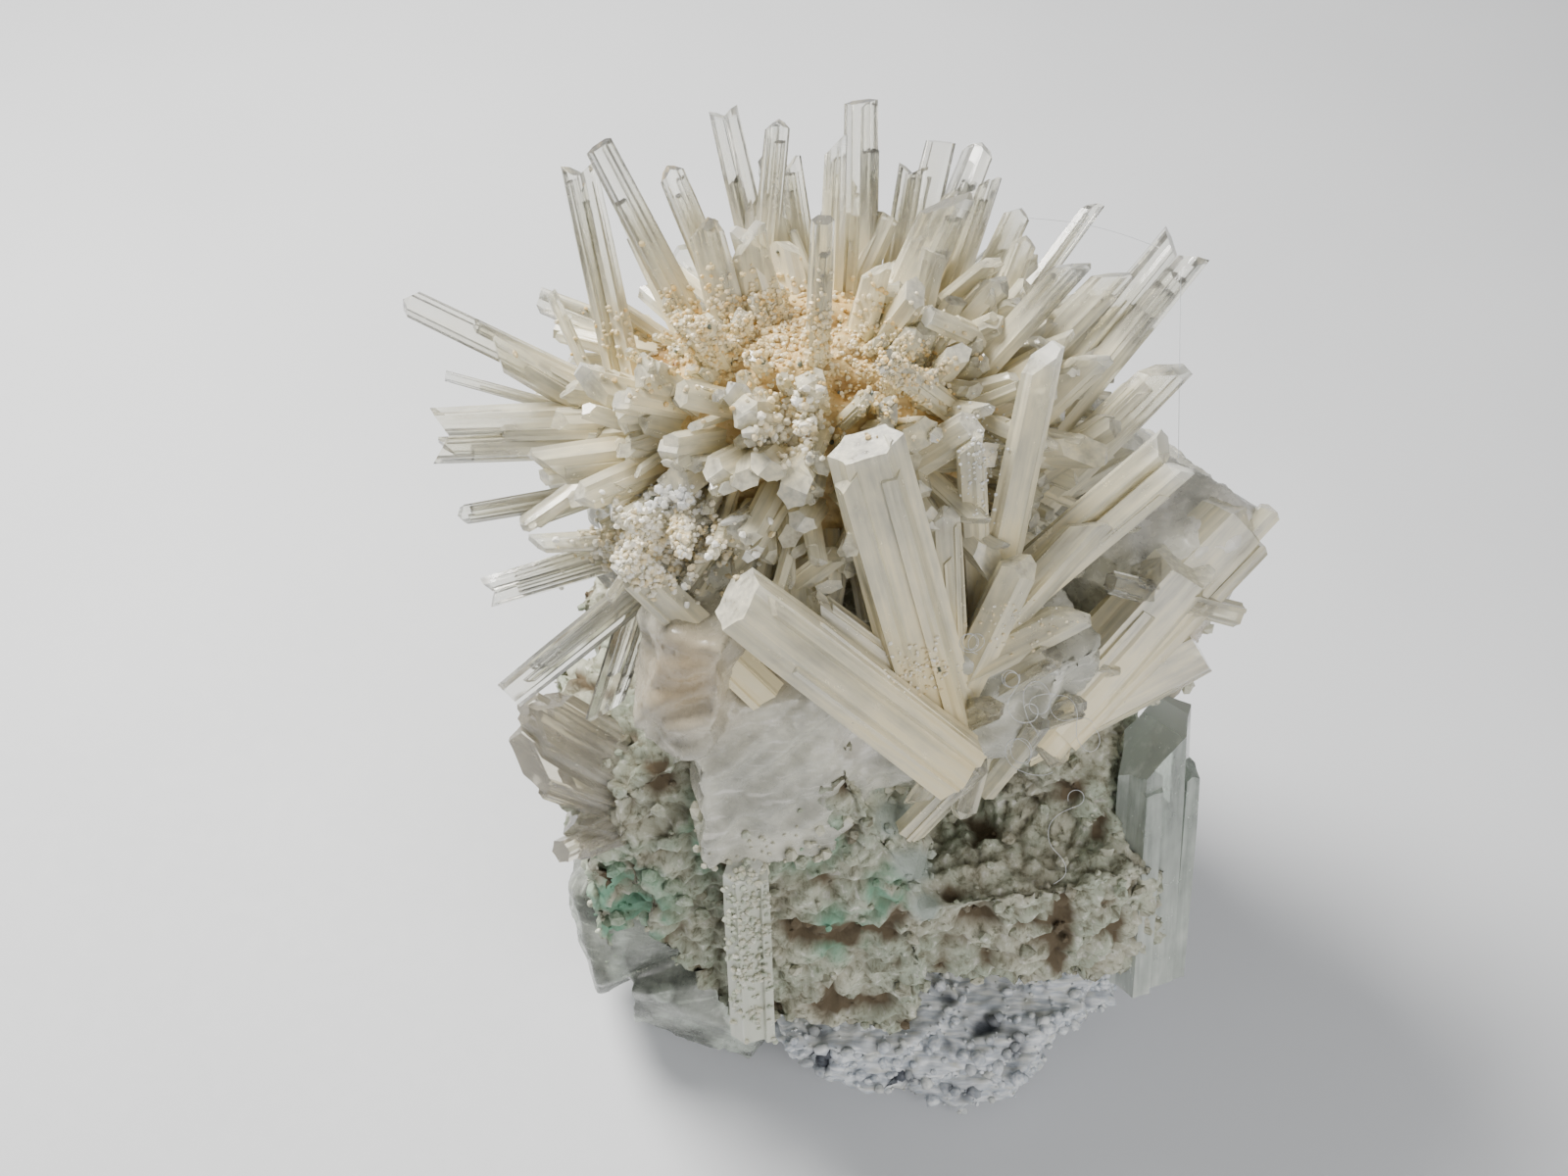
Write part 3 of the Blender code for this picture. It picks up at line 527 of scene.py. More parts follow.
def fill_rays(count, front, length, width, seed):
    """Thinner crystals between the others, few and short where the golden grains show."""
    chance = random.Random(seed)
    rows = []
    for way in ray_ways(count, -0.55, chance):
        toward = way.dot(TOWARD)
        if front and toward < 0 or not front and toward > 0.1:
            continue
        seat = CORE + Vector([a * b for a, b in zip(way, CORE_RADII)])
        lean = (way + 0.36 * random_direction(chance)).normalized()
        long = chance.uniform(*length)
        wide = chance.uniform(*width)
        if front and in_druse(seat):
            if chance.random() < 0.6:
                continue
            long *= 0.5
            wide *= 0.7
        tip = seat + lean * long
        if not inside(tip + lean):
            continue
        end = chance.choice(("chisel", "slant", "blunt", "round"))
        rows.append((tip, seat, wide, end, chance.uniform(0, math.pi)))
    return rows


def flank_rays():
    """Blocky crystals that lean out of the back and the flanks of the massive gypsum."""
    chance = random.Random(23)
    middle = Vector(TRUNK[0])
    rows = []
    for index in range(FLANK_COUNT):
        share = (index + 0.5) / FLANK_COUNT
        turn = math.radians(FLANK_TURNS[0] + (FLANK_TURNS[1] - FLANK_TURNS[0]) * share)
        rise = math.radians(chance.uniform(*FLANK_RISE))
        flat = math.cos(rise)
        way = Vector((math.cos(turn) * flat, math.sin(turn) * flat, math.sin(rise)))
        level = chance.uniform(-1, 1)
        start = (way.x * FLANK_START.x, way.y * FLANK_START.y, level * FLANK_START.z)
        seat = middle + Vector(start)
        tip = seat + way * chance.uniform(*FLANK_LENGTH)
        end = chance.choice(("chisel", "slant", "blunt", "point"))
        rows.append((tip, seat, chance.uniform(*FLANK_WIDTH), end, chance.uniform(0, 3)))
    return rows


def ray_blades(heap, rows, chance, milk, laths, sink=SINK):
    for tip, seat, width, end, roll in rows:
        blade(heap, tip, seat, width, width * 0.6, end, roll, chance, milk, laths, sink)


def placed(middle, turn, tilt):
    """The matrix that turns a shape about the upright and tilts its top back."""
    return (
        Matrix.Translation(middle)
        @ Matrix.Rotation(math.radians(turn), 4, "Z")
        @ Matrix.Rotation(math.radians(-tilt), 4, "X")
    )


def block_shape(middle, half, turn, tilt, breaks, seed, cuts=0):
    """A box whose corners and edges are broken off flat, rough where it has cuts."""
    chance = random.Random(seed)
    bm = bmesh.new()
    bmesh.ops.create_cube(bm, size=2)
    if cuts:
        bmesh.ops.subdivide_edges(bm, edges=bm.edges, cuts=cuts, use_grid_fill=True)
        for vertex in bm.verts:
            vertex.co += random_direction(chance) * JITTER
    for _ in range(breaks):
        direction = random_direction(chance)
        slice_off(bm, direction * chance.uniform(0.92, 1.14), direction)
    bmesh.ops.scale(bm, vec=Vector(half), verts=bm.verts)
    bmesh.ops.transform(bm, matrix=placed(middle, turn, tilt), verts=bm.verts)
    return bm


def lump_shape(middle, radii, breaks, seed, rounds=2):
    """A ball broken flat on several sides and stretched to its radii."""
    chance = random.Random(seed)
    bm = bmesh.new()
    bmesh.ops.create_icosphere(bm, subdivisions=rounds, radius=1)
    for vertex in bm.verts:
        vertex.co *= chance.uniform(0.9, 1.06)
    for _ in range(breaks):
        direction = random_direction(chance)
        slice_off(bm, direction * chance.uniform(0.66, 0.86), direction)
    bmesh.ops.scale(bm, vec=Vector(radii), verts=bm.verts)
    bmesh.ops.transform(bm, matrix=placed(middle, 0, 0), verts=bm.verts)
    return bm


def ledge_shape(middle, half, turn, tilt, seed):
    """A flat plate with a broken outline."""
    chance = random.Random(seed)
    bm = bmesh.new()
    bmesh.ops.create_cone(
        bm, cap_ends=True, segments=LEDGE_SIDES, radius1=1, radius2=0.93, depth=2
    )
    reach = [chance.uniform(*LEDGE_REACH) for _ in range(LEDGE_SIDES)]
    for vertex in bm.verts:
        share = math.atan2(vertex.co.y, vertex.co.x) / (2 * math.pi) % 1
        step = reach[round(share * LEDGE_SIDES) % LEDGE_SIDES]
        vertex.co.x *= step
        vertex.co.y *= step
    bmesh.ops.scale(bm, vec=Vector(half), verts=bm.verts)
    bmesh.ops.transform(bm, matrix=placed(middle, turn, tilt), verts=bm.verts)
    return bm


def foot_shapes():
    """Each ledge as a smaller heart with thin leaves that stand out of its rim."""
    chance = random.Random(83)
    shapes = []
    for index, (middle, half, turn, tilt) in enumerate(FOOT_LEDGES):
        heart = (half[0] * 0.86, half[1] * 0.86, half[2] * 0.96)
        shapes.append(ledge_shape(middle, heart, turn, tilt, 80 + index))
        for level in (-1.3, -0.5, 0.4, 1.25):
            reach = chance.uniform(0.84, 1.0)
            leaf = (half[0] * reach, half[1] * reach, chance.uniform(0.26, 0.4))
            spot = (middle[0], middle[1], middle[2] + level)
            shapes.append(ledge_shape(spot, leaf, turn, tilt, chance.randrange(1000)))
    return shapes


def skin(shapes, cell):
    """One closed skin round overlapping shapes: its points, ways out and faces."""
    joined = bmesh.new()
    mesh = bpy.data.meshes.new("joined")
    for shape in shapes:
        slice_off(shape, Vector((0, 0, 0)), Vector((0, 0, -1)))
        bmesh.ops.recalc_face_normals(shape, faces=shape.faces)
        shape.to_mesh(mesh)
        shape.free()
        joined.from_mesh(mesh)
    joined.to_mesh(mesh)
    joined.free()
    held = bpy.data.objects.new("joined", mesh)
    bpy.context.scene.collection.objects.link(held)
    remesh = held.modifiers.new("skin", "REMESH")
    remesh.mode = "VOXEL"
    remesh.voxel_size = cell
    graph = bpy.context.evaluated_depsgraph_get()
    made = bpy.data.meshes.new_from_object(held.evaluated_get(graph))
    points = np.empty(len(made.vertices) * 3)
    made.vertices.foreach_get("co", points)
    normals = np.empty(len(made.vertices) * 3, dtype=np.float32)
    made.vertex_normals.foreach_get("vector", normals)
    faces = [face.vertices[:] for face in made.polygons]
    bpy.data.objects.remove(held, do_unlink=True)
    bpy.data.meshes.remove(mesh)
    bpy.data.meshes.remove(made)
    return points.reshape(-1, 3), normals.reshape(-1, 3), faces


def rock(shapes, cell, surface):
    """A heap with one relief: the surface function gives each point's rise and stains."""
    points, normals, faces = skin(shapes, cell)
    rows = [surface(Vector(point)) for point in points]
    rise = np.array([row[0] for row in rows])
    moved = points + normals * rise[:, None]
    moved[:, 2] = np.maximum(moved[:, 2], 0)
    heap = Heap()
    heap.points = moved.tolist()
    heap.faces = [list(face) for face in faces]
    heap.own = points.tolist()
    heap.look = [row[1] for row in rows]
    return heap, normals


def smooth(piece):
    piece.data.polygons.foreach_set("use_smooth", [True] * len(piece.data.polygons))
    return piece


def cell_edges(point):
    """1 on the borders between the cells of a cell pattern and 0 inside them."""
    near, after = noise.voronoi(point)[0][:2]
    return max(1 - (after - near) * 2.4, 0)


def matrix_surface(point):
    """Crumbly rock: lumps between cracks, hollows and pits. Marks: green stain, painted shade in
    hollows, cracks and pits, glassy patch.
    """
    broad = noise.fractal(point * 0.13, 0.8, 2.1, 3)
    hollow = max(noise.noise(point * 0.36 + Vector((40, 0, 0))) - 0.22, 0)
    warped = point + noise.noise_vector(point * 0.35) * 1.4
    large = cell_edges(warped * 0.3) ** 2
    small = cell_edges(warped * 0.8) ** 2 * min(max(noise.noise(point * 0.17) * 3 + 0.5, 0), 1)
    crack = max(large, 0.6 * small)
    fine = noise.fractal(point * 0.9, 0.6, 2.2, 4)
    pit = 0
    for middle, radii in PITS:
        away = point - Vector(middle)
        depth = 1 - math.sqrt(sum((a / b) ** 2 for a, b in zip(away, radii)))
        pit = max(pit, depth)
    across, up, _ = shown(point)
    patch = min(max(noise.noise(point * 0.5) * 2 + 0.8, 0), 1)
    green = spot_share(across, up, GREEN_SPOTS) * patch
    glassy = spot_share(across, up, GLASSY_SPOTS)
    lumps = (1 - glassy) * (0.55 * fine - 0.9 * crack - 2.0 * hollow)
    rise = 0.9 * broad + lumps - 2.0 * pit
    # Painted shade: the colour darkens with the depth of hollows, cracks and pits, where shade falls.
    dark = min(hollow * 2.4 + crack * 0.45 + pit * 1.3, 1) * (1 - glassy)
    return rise, (green, dark, glassy)


def massive_surface(point):
    """Cleaved gypsum: low steps and soft dents. Stains: tan, white, dark."""
    broad = noise.fractal(point * 0.14, 0.9, 2.0, 2)
    steps = noise.noise(Vector((point.x * 0.2, point.y * 0.2, (point.z - point.x * 0.7) * 0.5)))
    step = round(steps * 5) / 5
    fine = noise.noise(point * 2.1)
    across, up, _ = shown(point)
    tan = spot_share(across, up, TAN_SPOTS)
    white = spot_share(across, up, WHITE_SPOTS)
    dark = max(noise.noise(point * 0.3 + Vector((0, 30, 0))) - 0.25, 0) * 2
    rise = 0.6 * broad + 0.9 * step + 0.1 * fine - 0.8 * dark
    return rise, (tan, white, dark)


def lower_surface(point):
    """Gypsum under the matrix, in greys darkened by painted shade, crusted in places. Stains: tan,
    white, dark.
    """
    broad = noise.fractal(point * 0.2, 0.9, 2.0, 2)
    crust = min(max(noise.noise(point * 0.24 + Vector((7, 0, 0))) * 3, 0), 1)
    crumbs = noise.noise(point * 1.5) * crust
    return 0.4 * broad + 0.45 * crumbs, (0.1, crust, 0)


def foot_surface(point):
    """Fibrous ledges with lumpy rims and hollows. Marks: none, painted shade in the hollows, silk."""
    near = noise.voronoi(point * 0.8)[0][0]
    silk = noise.noise(Vector((point.x * 0.6, point.y * 1.8, point.z * 2.4)))
    hollow = max(noise.noise(point * 0.35 + Vector((0, 0, 50))) - 0.22, 0)
    rise = 0.7 * (0.45 - near) + 0.25 * silk - 1.8 * hollow
    # The second number marks the hollows for painted shade.
    return rise, (0, min(hollow * 2.6, 1), silk * 0.5 + 0.5)


def core_heap():
    """The golden heart of the spray, a rough ball."""
    heap = Heap()
    bm = bmesh.new()
    bmesh.ops.create_icosphere(bm, subdivisions=6, radius=1)
    own = []
    look = []
    for vertex in bm.verts:
        point = Vector([a * b for a, b in zip(vertex.co, CORE_RADII)])
        edge = cell_edges(point * 0.9)
        hollow = max(noise.noise(point * 0.33) - 0.12, 0)
        rise = 0.8 * noise.fractal(point * 0.25, 0.8, 2.1, 4) - 0.4 * edge - 2.2 * hollow
        own.append(tuple(point))
        # The first two numbers mark hollows and creases, where the look paints shade.
        look.append((min(hollow * 3, 1), edge, 0.5))
        vertex.co = CORE + point + vertex.co * rise
    heap.add(bm, own, look)
    return heap


def ball():
    """The corners and faces of a coarse ball."""
    bm = bmesh.new()
    bmesh.ops.create_icosphere(bm, subdivisions=1, radius=1)
    bm.verts.index_update()
    points = [vertex.co.copy() for vertex in bm.verts]
    faces = [[vertex.index for vertex in face.verts] for face in bm.faces]
    bm.free()
    return points, faces


BALL_POINTS, BALL_FACES = ball()


def add_grain(heap, spot, size, chance, look):
    """One angular grain, turned and stretched at random."""
    start = len(heap.points)
    turn = Euler((chance.uniform(0, 6.3), chance.uniform(0, 6.3), 0)).to_matrix()
    stretch = (size / 2, size / 2 * chance.uniform(0.6, 1), size / 2 * chance.uniform(0.6, 1))
    shift = Vector((chance.uniform(0, 90), chance.uniform(0, 90), chance.uniform(0, 90)))
    for point in BALL_POINTS:
        own = Vector([a * b for a, b in zip(point, stretch)]) * chance.uniform(0.75, 1.15)
        heap.points.append(tuple(spot + turn @ own))
        heap.own.append(tuple(own + shift))
        heap.look.append(look)
    heap.faces.extend([start + corner for corner in face] for face in BALL_FACES)


def surface_of(*heaps):
    """The heaps as one surface that rays can be cast on."""
    points = []
    faces = []
    for heap in heaps:
        start = len(points)
        points.extend(heap.points)
        faces.extend([start + corner for corner in face] for face in heap.faces)
    return BVHTree.FromPolygons(points, faces)


def cast(surface, across, up):
    """Where the sight line of a place meets a surface, and the way out there."""
    eye = SPRAY_CENTRE + RIGHT * EYE.x + UP * EYE.y + TOWARD * EYE.z
    aim = (seen((across, up, 0)) - eye).normalized()
    spot, out, _, _ = surface.ray_cast(eye, aim)
    return spot, out


def grain_heap(kind, surface, chance):
    heap = Heap()
    for (across, up), (wide, high), count, sizes, sort in GRAIN_SPOTS:
        if sort != kind:
            continue
        for _ in range(count):
            place_across = across + chance.gauss(0, 0.5) * wide
            place_up = up + chance.gauss(0, 0.5) * high
            spot, out = cast(surface, place_across, place_up)
            if spot is None:
                continue
            size = chance.uniform(*sizes)
            look = (0.5, 0.5, chance.random())
            add_grain(heap, spot + out * size * 0.2, size, chance, look)
    return heap


def crumb_heap(rock_heap, normals, count, low, high, chance):
    """Crumbs that sit on a rock between two heights, most of them small."""
    heap = Heap()
    for _ in range(count):
        index = chance.randrange(len(rock_heap.points))
        spot = Vector(rock_heap.points[index])
        out = Vector(normals[index])
        small, large = CRUMB_SIZE
        size = small + (large - small) * chance.random() ** 3
        if not low < spot.z < high:
            continue
        # Each crumb takes the rock's marks at its spot, painted shade in hollows included.
        add_grain(heap, spot + out * size * 0.2, size, chance, rock_heap.look[index])
    return heap


THREAD_SIDES = 5
THREAD_RADIUS = 0.028


def thread(heap, points, number):
    """A thin tube along some points."""
    start = len(heap.points)
    for index, point in enumerate(points):
        ahead = points[min(index + 1, len(points) - 1)] - points[max(index - 1, 0)]
        side = ahead.cross(TOWARD).normalized()
        other = ahead.cross(side).normalized()
        for step in range(THREAD_SIDES):
            turn = 2 * math.pi * step / THREAD_SIDES
            offset = (side * math.cos(turn) + other * math.sin(turn)) * THREAD_RADIUS
            heap.points.append(tuple(point + offset))
            heap.own.append((offset.x, offset.y, index * 0.2))
            heap.look.append((0, index / len(points), number))
    for index in range(len(points) - 1):
        for step in range(THREAD_SIDES):
            after = (step + 1) % THREAD_SIDES
            low = start + index * THREAD_SIDES
            high = low + THREAD_SIDES
            heap.faces.append([low + step, low + after, high + after, high + step])
    last = start + (len(points) - 1) * THREAD_SIDES
    heap.faces.append([start + step for step in reversed(range(THREAD_SIDES))])
    heap.faces.append([last + step for step in range(THREAD_SIDES)])


def curl(start, count, chance):
    """A looping way over the surface, as points."""
    across, up, toward = start
    heading = chance.uniform(0, 2 * math.pi)
    bend = chance.choice((-0.22, 0.22))
    points = []
    for _ in range(count):
        points.append(seen((across, up, toward)))
        bend = min(max(bend + chance.gauss(0, 0.06), -0.4), 0.4)
        heading += bend
        across += 0.24 * math.cos(heading)
        up += 0.24 * math.sin(heading)
        toward += chance.gauss(0, 0.04)
    return points


# Threads that lie on the specimen: starts of the curly ones and their lengths in steps, then
# the two ends of the straight ones.
CURLS = (
    ((15.0, -19.0, 10.5), 60),
    ((18.4, -20.6, 9.0), 70),
    ((21.6, -22.4, 6.6), 56),
    ((24.4, -24.6, 4.0), 60),
    ((19.0, -28.0, 2.4), 64),
    ((22.4, -31.0, 0.6), 50),
)
STRAIGHT_THREADS = (
    ((31.6, 12.4, 5.0), (31.4, -3.0, 2.4)),
    ((19.2, 16.6, 5.0), (29.8, 14.2, 5.0)),
)


def lint_heap():
    chance = random.Random(61)
    heap = Heap()
    for start, count in CURLS:
        thread(heap, curl(start, count, chance), chance.random())
    for start, end in STRAIGHT_THREADS:
        first = seen(start)
        last = seen(end)
        points = []
        for step in range(25):
            share = step / 24
            sag = math.sin(share * math.pi) * 0.5
            points.append(first.lerp(last, share) + UP * sag)
        thread(heap, points, chance.random())
    return heap


class Look:
    """A material, and short calls that add its nodes."""

    def __init__(self, name, ior=1.52):
        self.made = bpy.data.materials.new(name)
        self.made.use_nodes = True
        self.nodes = self.made.node_tree.nodes
        self.links = self.made.node_tree.links
        self.shader = self.nodes["Principled BSDF"]
        self.shader.inputs["IOR"].default_value = ior
        self.own = self.attribute("own")
        split = self.nodes.new("ShaderNodeSeparateXYZ")
        self.links.new(self.attribute("look"), split.inputs[0])
        self.first, self.second, self.third = split.outputs

    def attribute(self, name):
        made = self.nodes.new("ShaderNodeAttribute")
        made.attribute_type = "GEOMETRY"
        made.attribute_name = name
        return made.outputs["Vector"]

    def feed(self, socket, value):
        """Links a node's result to a socket, or sets a number or a colour."""
        if isinstance(value, bpy.types.NodeSocket):
            self.links.new(value, socket)
        elif isinstance(value, tuple) and len(value) == 3:
            socket.default_value = (*value, 1)
        else:
            socket.default_value = value

    def set(self, name, value):
        self.feed(self.shader.inputs[name], value)

    def maths(self, operation, first, second=0.0, clamp=False):
        made = self.nodes.new("ShaderNodeMath")
        made.operation = operation
        made.use_clamp = clamp
        self.feed(made.inputs[0], first)
        self.feed(made.inputs[1], second)
        return made.outputs[0]

    def noise(self, size, detail=3.0, roughness=0.55):
        """Clouds in the shape's own coordinates, as many to the millimetre as size says."""
        stretched = self.nodes.new("ShaderNodeVectorMath")
        stretched.operation = "MULTIPLY"
        self.links.new(self.own, stretched.inputs[0])
        stretched.inputs[1].default_value = size
        made = self.nodes.new("ShaderNodeTexNoise")
        made.inputs["Scale"].default_value = 1.0
        made.inputs["Detail"].default_value = detail
        made.inputs["Roughness"].default_value = roughness
        self.links.new(stretched.outputs[0], made.inputs["Vector"])
        return made.outputs[0]

    def level(self, value, low, high, start=0.0, end=1.0):
        made = self.nodes.new("ShaderNodeMapRange")
        made.clamp = True
        for index, item in enumerate((value, low, high, start, end)):
            self.feed(made.inputs[index], item)
        return made.outputs[0]

    def mix(self, share, first, second):
        made = self.nodes.new("ShaderNodeMix")
        made.data_type = "RGBA"
        self.feed(made.inputs[0], share)
        self.feed(made.inputs[6], first)
        self.feed(made.inputs[7], second)
        return made.outputs[2]

    def bump(self, height, strength, distance):
        made = self.nodes.new("ShaderNodeBump")
        made.inputs["Strength"].default_value = strength
        made.inputs["Distance"].default_value = distance
        self.links.new(height, made.inputs["Height"])
        self.links.new(made.outputs["Normal"], self.shader.inputs["Normal"])

    def absorb(self, colour, density):
        """What the inside takes from light, per metre."""
        made = self.nodes.new("ShaderNodeVolumeAbsorption")
        made.inputs["Color"].default_value = (*colour, 1)
        made.inputs["Density"].default_value = density
        self.links.new(made.outputs[0], self.nodes["Material Output"].inputs["Volume"])


def crystal_look(name, clear, milky, deep, clearest, tint, density):
    """Selenite: clear to milky with lengthwise streaks, frosted in patches and at some tips."""
    look = Look(name)
    streak = look.noise((1.7, 1.7, 0.09), 4.0)
    cloud = look.noise((0.5, 0.5, 0.22), 3.0)
    mottle = look.level(look.maths("ADD", streak, cloud), 0.7, 1.3, -0.2, 0.2)
    fog = look.maths("ADD", look.first, mottle, clamp=True)
    pale = look.mix(look.level(fog, 0.0, 0.55), clear, milky)
    body = look.mix(look.level(fog, 0.55, 1.0), pale, deep)
    top = look.maths("MULTIPLY", look.level(look.second, 0.9, 0.99), look.level(look.third, 0.4, 0.5))
    look.set("Base Color", look.mix(look.maths("MULTIPLY", top, 0.7), body, (0.90, 0.92, 0.92)))
    look.set("Transmission Weight", look.level(fog, 0.2, 0.9, clearest, 0.14))
    frost = look.level(look.noise((0.9, 0.9, 0.5), 5.0, 0.7), 0.52, 0.68, 0.05, 0.32)
    tips = look.maths("MULTIPLY", look.level(look.second, 0.92, 0.98), 0.42)
    frosted = look.maths("MULTIPLY", tips, look.level(look.third, 0.45, 0.5))
    look.set("Roughness", look.maths("MAXIMUM", frost, frosted))
    look.bump(look.noise((4.5, 4.5, 0.14), 3.0), 0.2, 0.00006)
    look.absorb(tint, density)
    return look.made


def massive_look(name, grey, pale, tan, white, clearest):
    """Massive gypsum: cloudy, with pale cleavage lines, tan and white parts."""
    look = Look(name)
    cloud = look.noise((0.22, 0.22, 0.22), 4.0)
    base = look.mix(look.level(cloud, 0.38, 0.62), grey, pale)
    lines = look.level(look.noise((0.3, 0.3, 2.4), 2.0), 0.6, 0.68, 0.0, 0.7)
    lined = look.mix(lines, base, white)
    stained = look.mix(look.first, lined, tan)
    look.set("Base Color", look.mix(look.level(look.second, 0.25, 0.8), stained, white))
    look.set("Transmission Weight", look.level(cloud, 0.35, 0.65, clearest, 0.12))
    look.set("Roughness", look.level(look.noise((1.2, 1.2, 1.2), 4.0), 0.4, 0.65, 0.14, 0.42))
    look.bump(look.noise((1.5, 1.5, 6.0), 4.0), 0.3, 0.0001)
    look.absorb((0.85, 0.80, 0.66), 30.0)
    return look.made


def druse_look():
    """The golden heart: sugary amber, with painted shade in brown in its hollows and creases."""
    look = Look("druse_look")
    cloud = look.noise((0.4, 0.4, 0.4), 4.0)
    pale = look.mix(look.level(cloud, 0.35, 0.65), (0.86, 0.68, 0.36), (0.76, 0.54, 0.22))
    # Painted shade: brown mixed in at the hollows and creases.
    deep = look.maths("MAXIMUM", look.first, look.maths("MULTIPLY", look.second, 0.5))
    look.set("Base Color", look.mix(deep, pale, (0.46, 0.26, 0.07)))
    look.set("Transmission Weight", look.level(cloud, 0.3, 0.7, 0.25, 0.05))
    look.set("Roughness", look.level(look.noise((3.0, 3.0, 3.0), 4.0), 0.3, 0.7, 0.2, 0.5))
    look.bump(look.noise((4.0, 4.0, 4.0), 5.0), 0.6, 0.00015)
    return look.made


def grain_look(name, first, second, third, clear):
    """Grains of three colours, a few of them dark specks."""
    look = Look(name)
    pair = look.mix(look.level(look.third, 0.3, 0.5), first, second)
    trio = look.mix(look.level(look.third, 0.65, 0.85), pair, third)
    speck = look.level(look.third, 0.99, 0.992)
    look.set("Base Color", look.mix(speck, trio, (0.12, 0.14, 0.11)))
    look.set("Transmission Weight", look.level(look.third, 0.2, 0.8, clear, clear * 0.4))
    look.set("Roughness", look.level(look.noise((2.0, 2.0, 2.0)), 0.3, 0.7, 0.15, 0.5))
    return look.made


def matrix_look():
    """Crumbly earth: cream and pale green, with painted shade in its hollows, cracks and pits, glassy
    where gypsum shows.
    """
    look = Look("earthy_look")
    broad = look.noise((0.16, 0.16, 0.16), 4.0)
    grain = look.noise((1.3, 1.3, 1.3), 5.0, 0.65)
    base = look.mix(look.level(broad, 0.4, 0.62), (0.58, 0.57, 0.45), (0.45, 0.50, 0.39))
    dirty = look.mix(look.level(grain, 0.34, 0.5), (0.20, 0.20, 0.14), base)
    flecked = look.mix(look.level(grain, 0.56, 0.66), dirty, (0.76, 0.76, 0.68))
    green = look.mix(look.level(look.first, 0.08, 0.7, 0.0, 0.85), flecked, (0.17, 0.40, 0.27))
    # Painted shade: dark brown mixed in by the hollow, crack and pit mark.
    dark = look.mix(look.level(look.second, 0.05, 0.8), green, (0.13, 0.10, 0.06))
    glass = look.mix(look.level(look.third, 0.25, 0.7), dark, (0.36, 0.41, 0.36))
    look.set("Base Color", glass)
    look.set("Roughness", look.level(look.third, 0.2, 0.7, 0.95, 0.25))
    look.bump(look.noise((3.5, 3.5, 3.5), 5.0, 0.7), 0.8, 0.0002)
    return look.made


def foot_look():
    """Fibrous gypsum: silky streaks of white and a bluish grey that is painted shade, with painted
    shade in its hollows.
    """
    look = Look("fibrous_look")
    silk = look.noise((0.35, 2.6, 2.6), 4.0)
    # The streaks are the fibres' own; their bluish grey end is painted shade on the white fibres.
    base = look.mix(look.level(silk, 0.38, 0.62), (0.56, 0.61, 0.67), (0.86, 0.88, 0.89))
    crust = look.mix(look.level(look.third, 0.5, 0.9), base, (0.66, 0.66, 0.58))
    # Painted shade: near black in the hollows.
    look.set("Base Color", look.mix(look.second, crust, (0.08, 0.09, 0.11)))
    look.set("Transmission Weight", look.level(silk, 0.4, 0.6, 0.2, 0.02))
    look.set("Roughness", look.level(silk, 0.35, 0.65, 0.55, 0.3))
    look.bump(look.noise((1.2, 5.0, 5.0), 4.0), 0.5, 0.00012)
    return look.made


def lint_look():
    look = Look("lint_look")
    shade = look.level(look.noise((0.6, 0.6, 0.6)), 0.3, 0.7)
    look.set("Base Color", look.mix(shade, (0.72, 0.76, 0.80), (0.92, 0.93, 0.94)))
    look.set("Transmission Weight", 0.6)
    look.set("Roughness", look.level(look.third, 0.0, 1.0, 0.25, 0.4))
    return look.made


def floor_look():
    look = Look("floor_look", 1.45)
    cloud = look.level(look.noise((0.02, 0.02, 0.02), 2.0), 0.3, 0.7)
    look.set("Base Color", look.mix(cloud, (0.66, 0.68, 0.71), (0.70, 0.72, 0.75)))
    look.set("Roughness", look.level(look.noise((0.5, 0.5, 0.5)), 0.3, 0.7, 0.6, 0.75))
    return look.made


def settle(piece, slot, *nodes):
    """Ties a piece to the body and hides the solids that it stands for. The slot argument is not
    used.
    """
    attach(piece, "root")
    for node in nodes:
        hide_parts(node)
    return piece


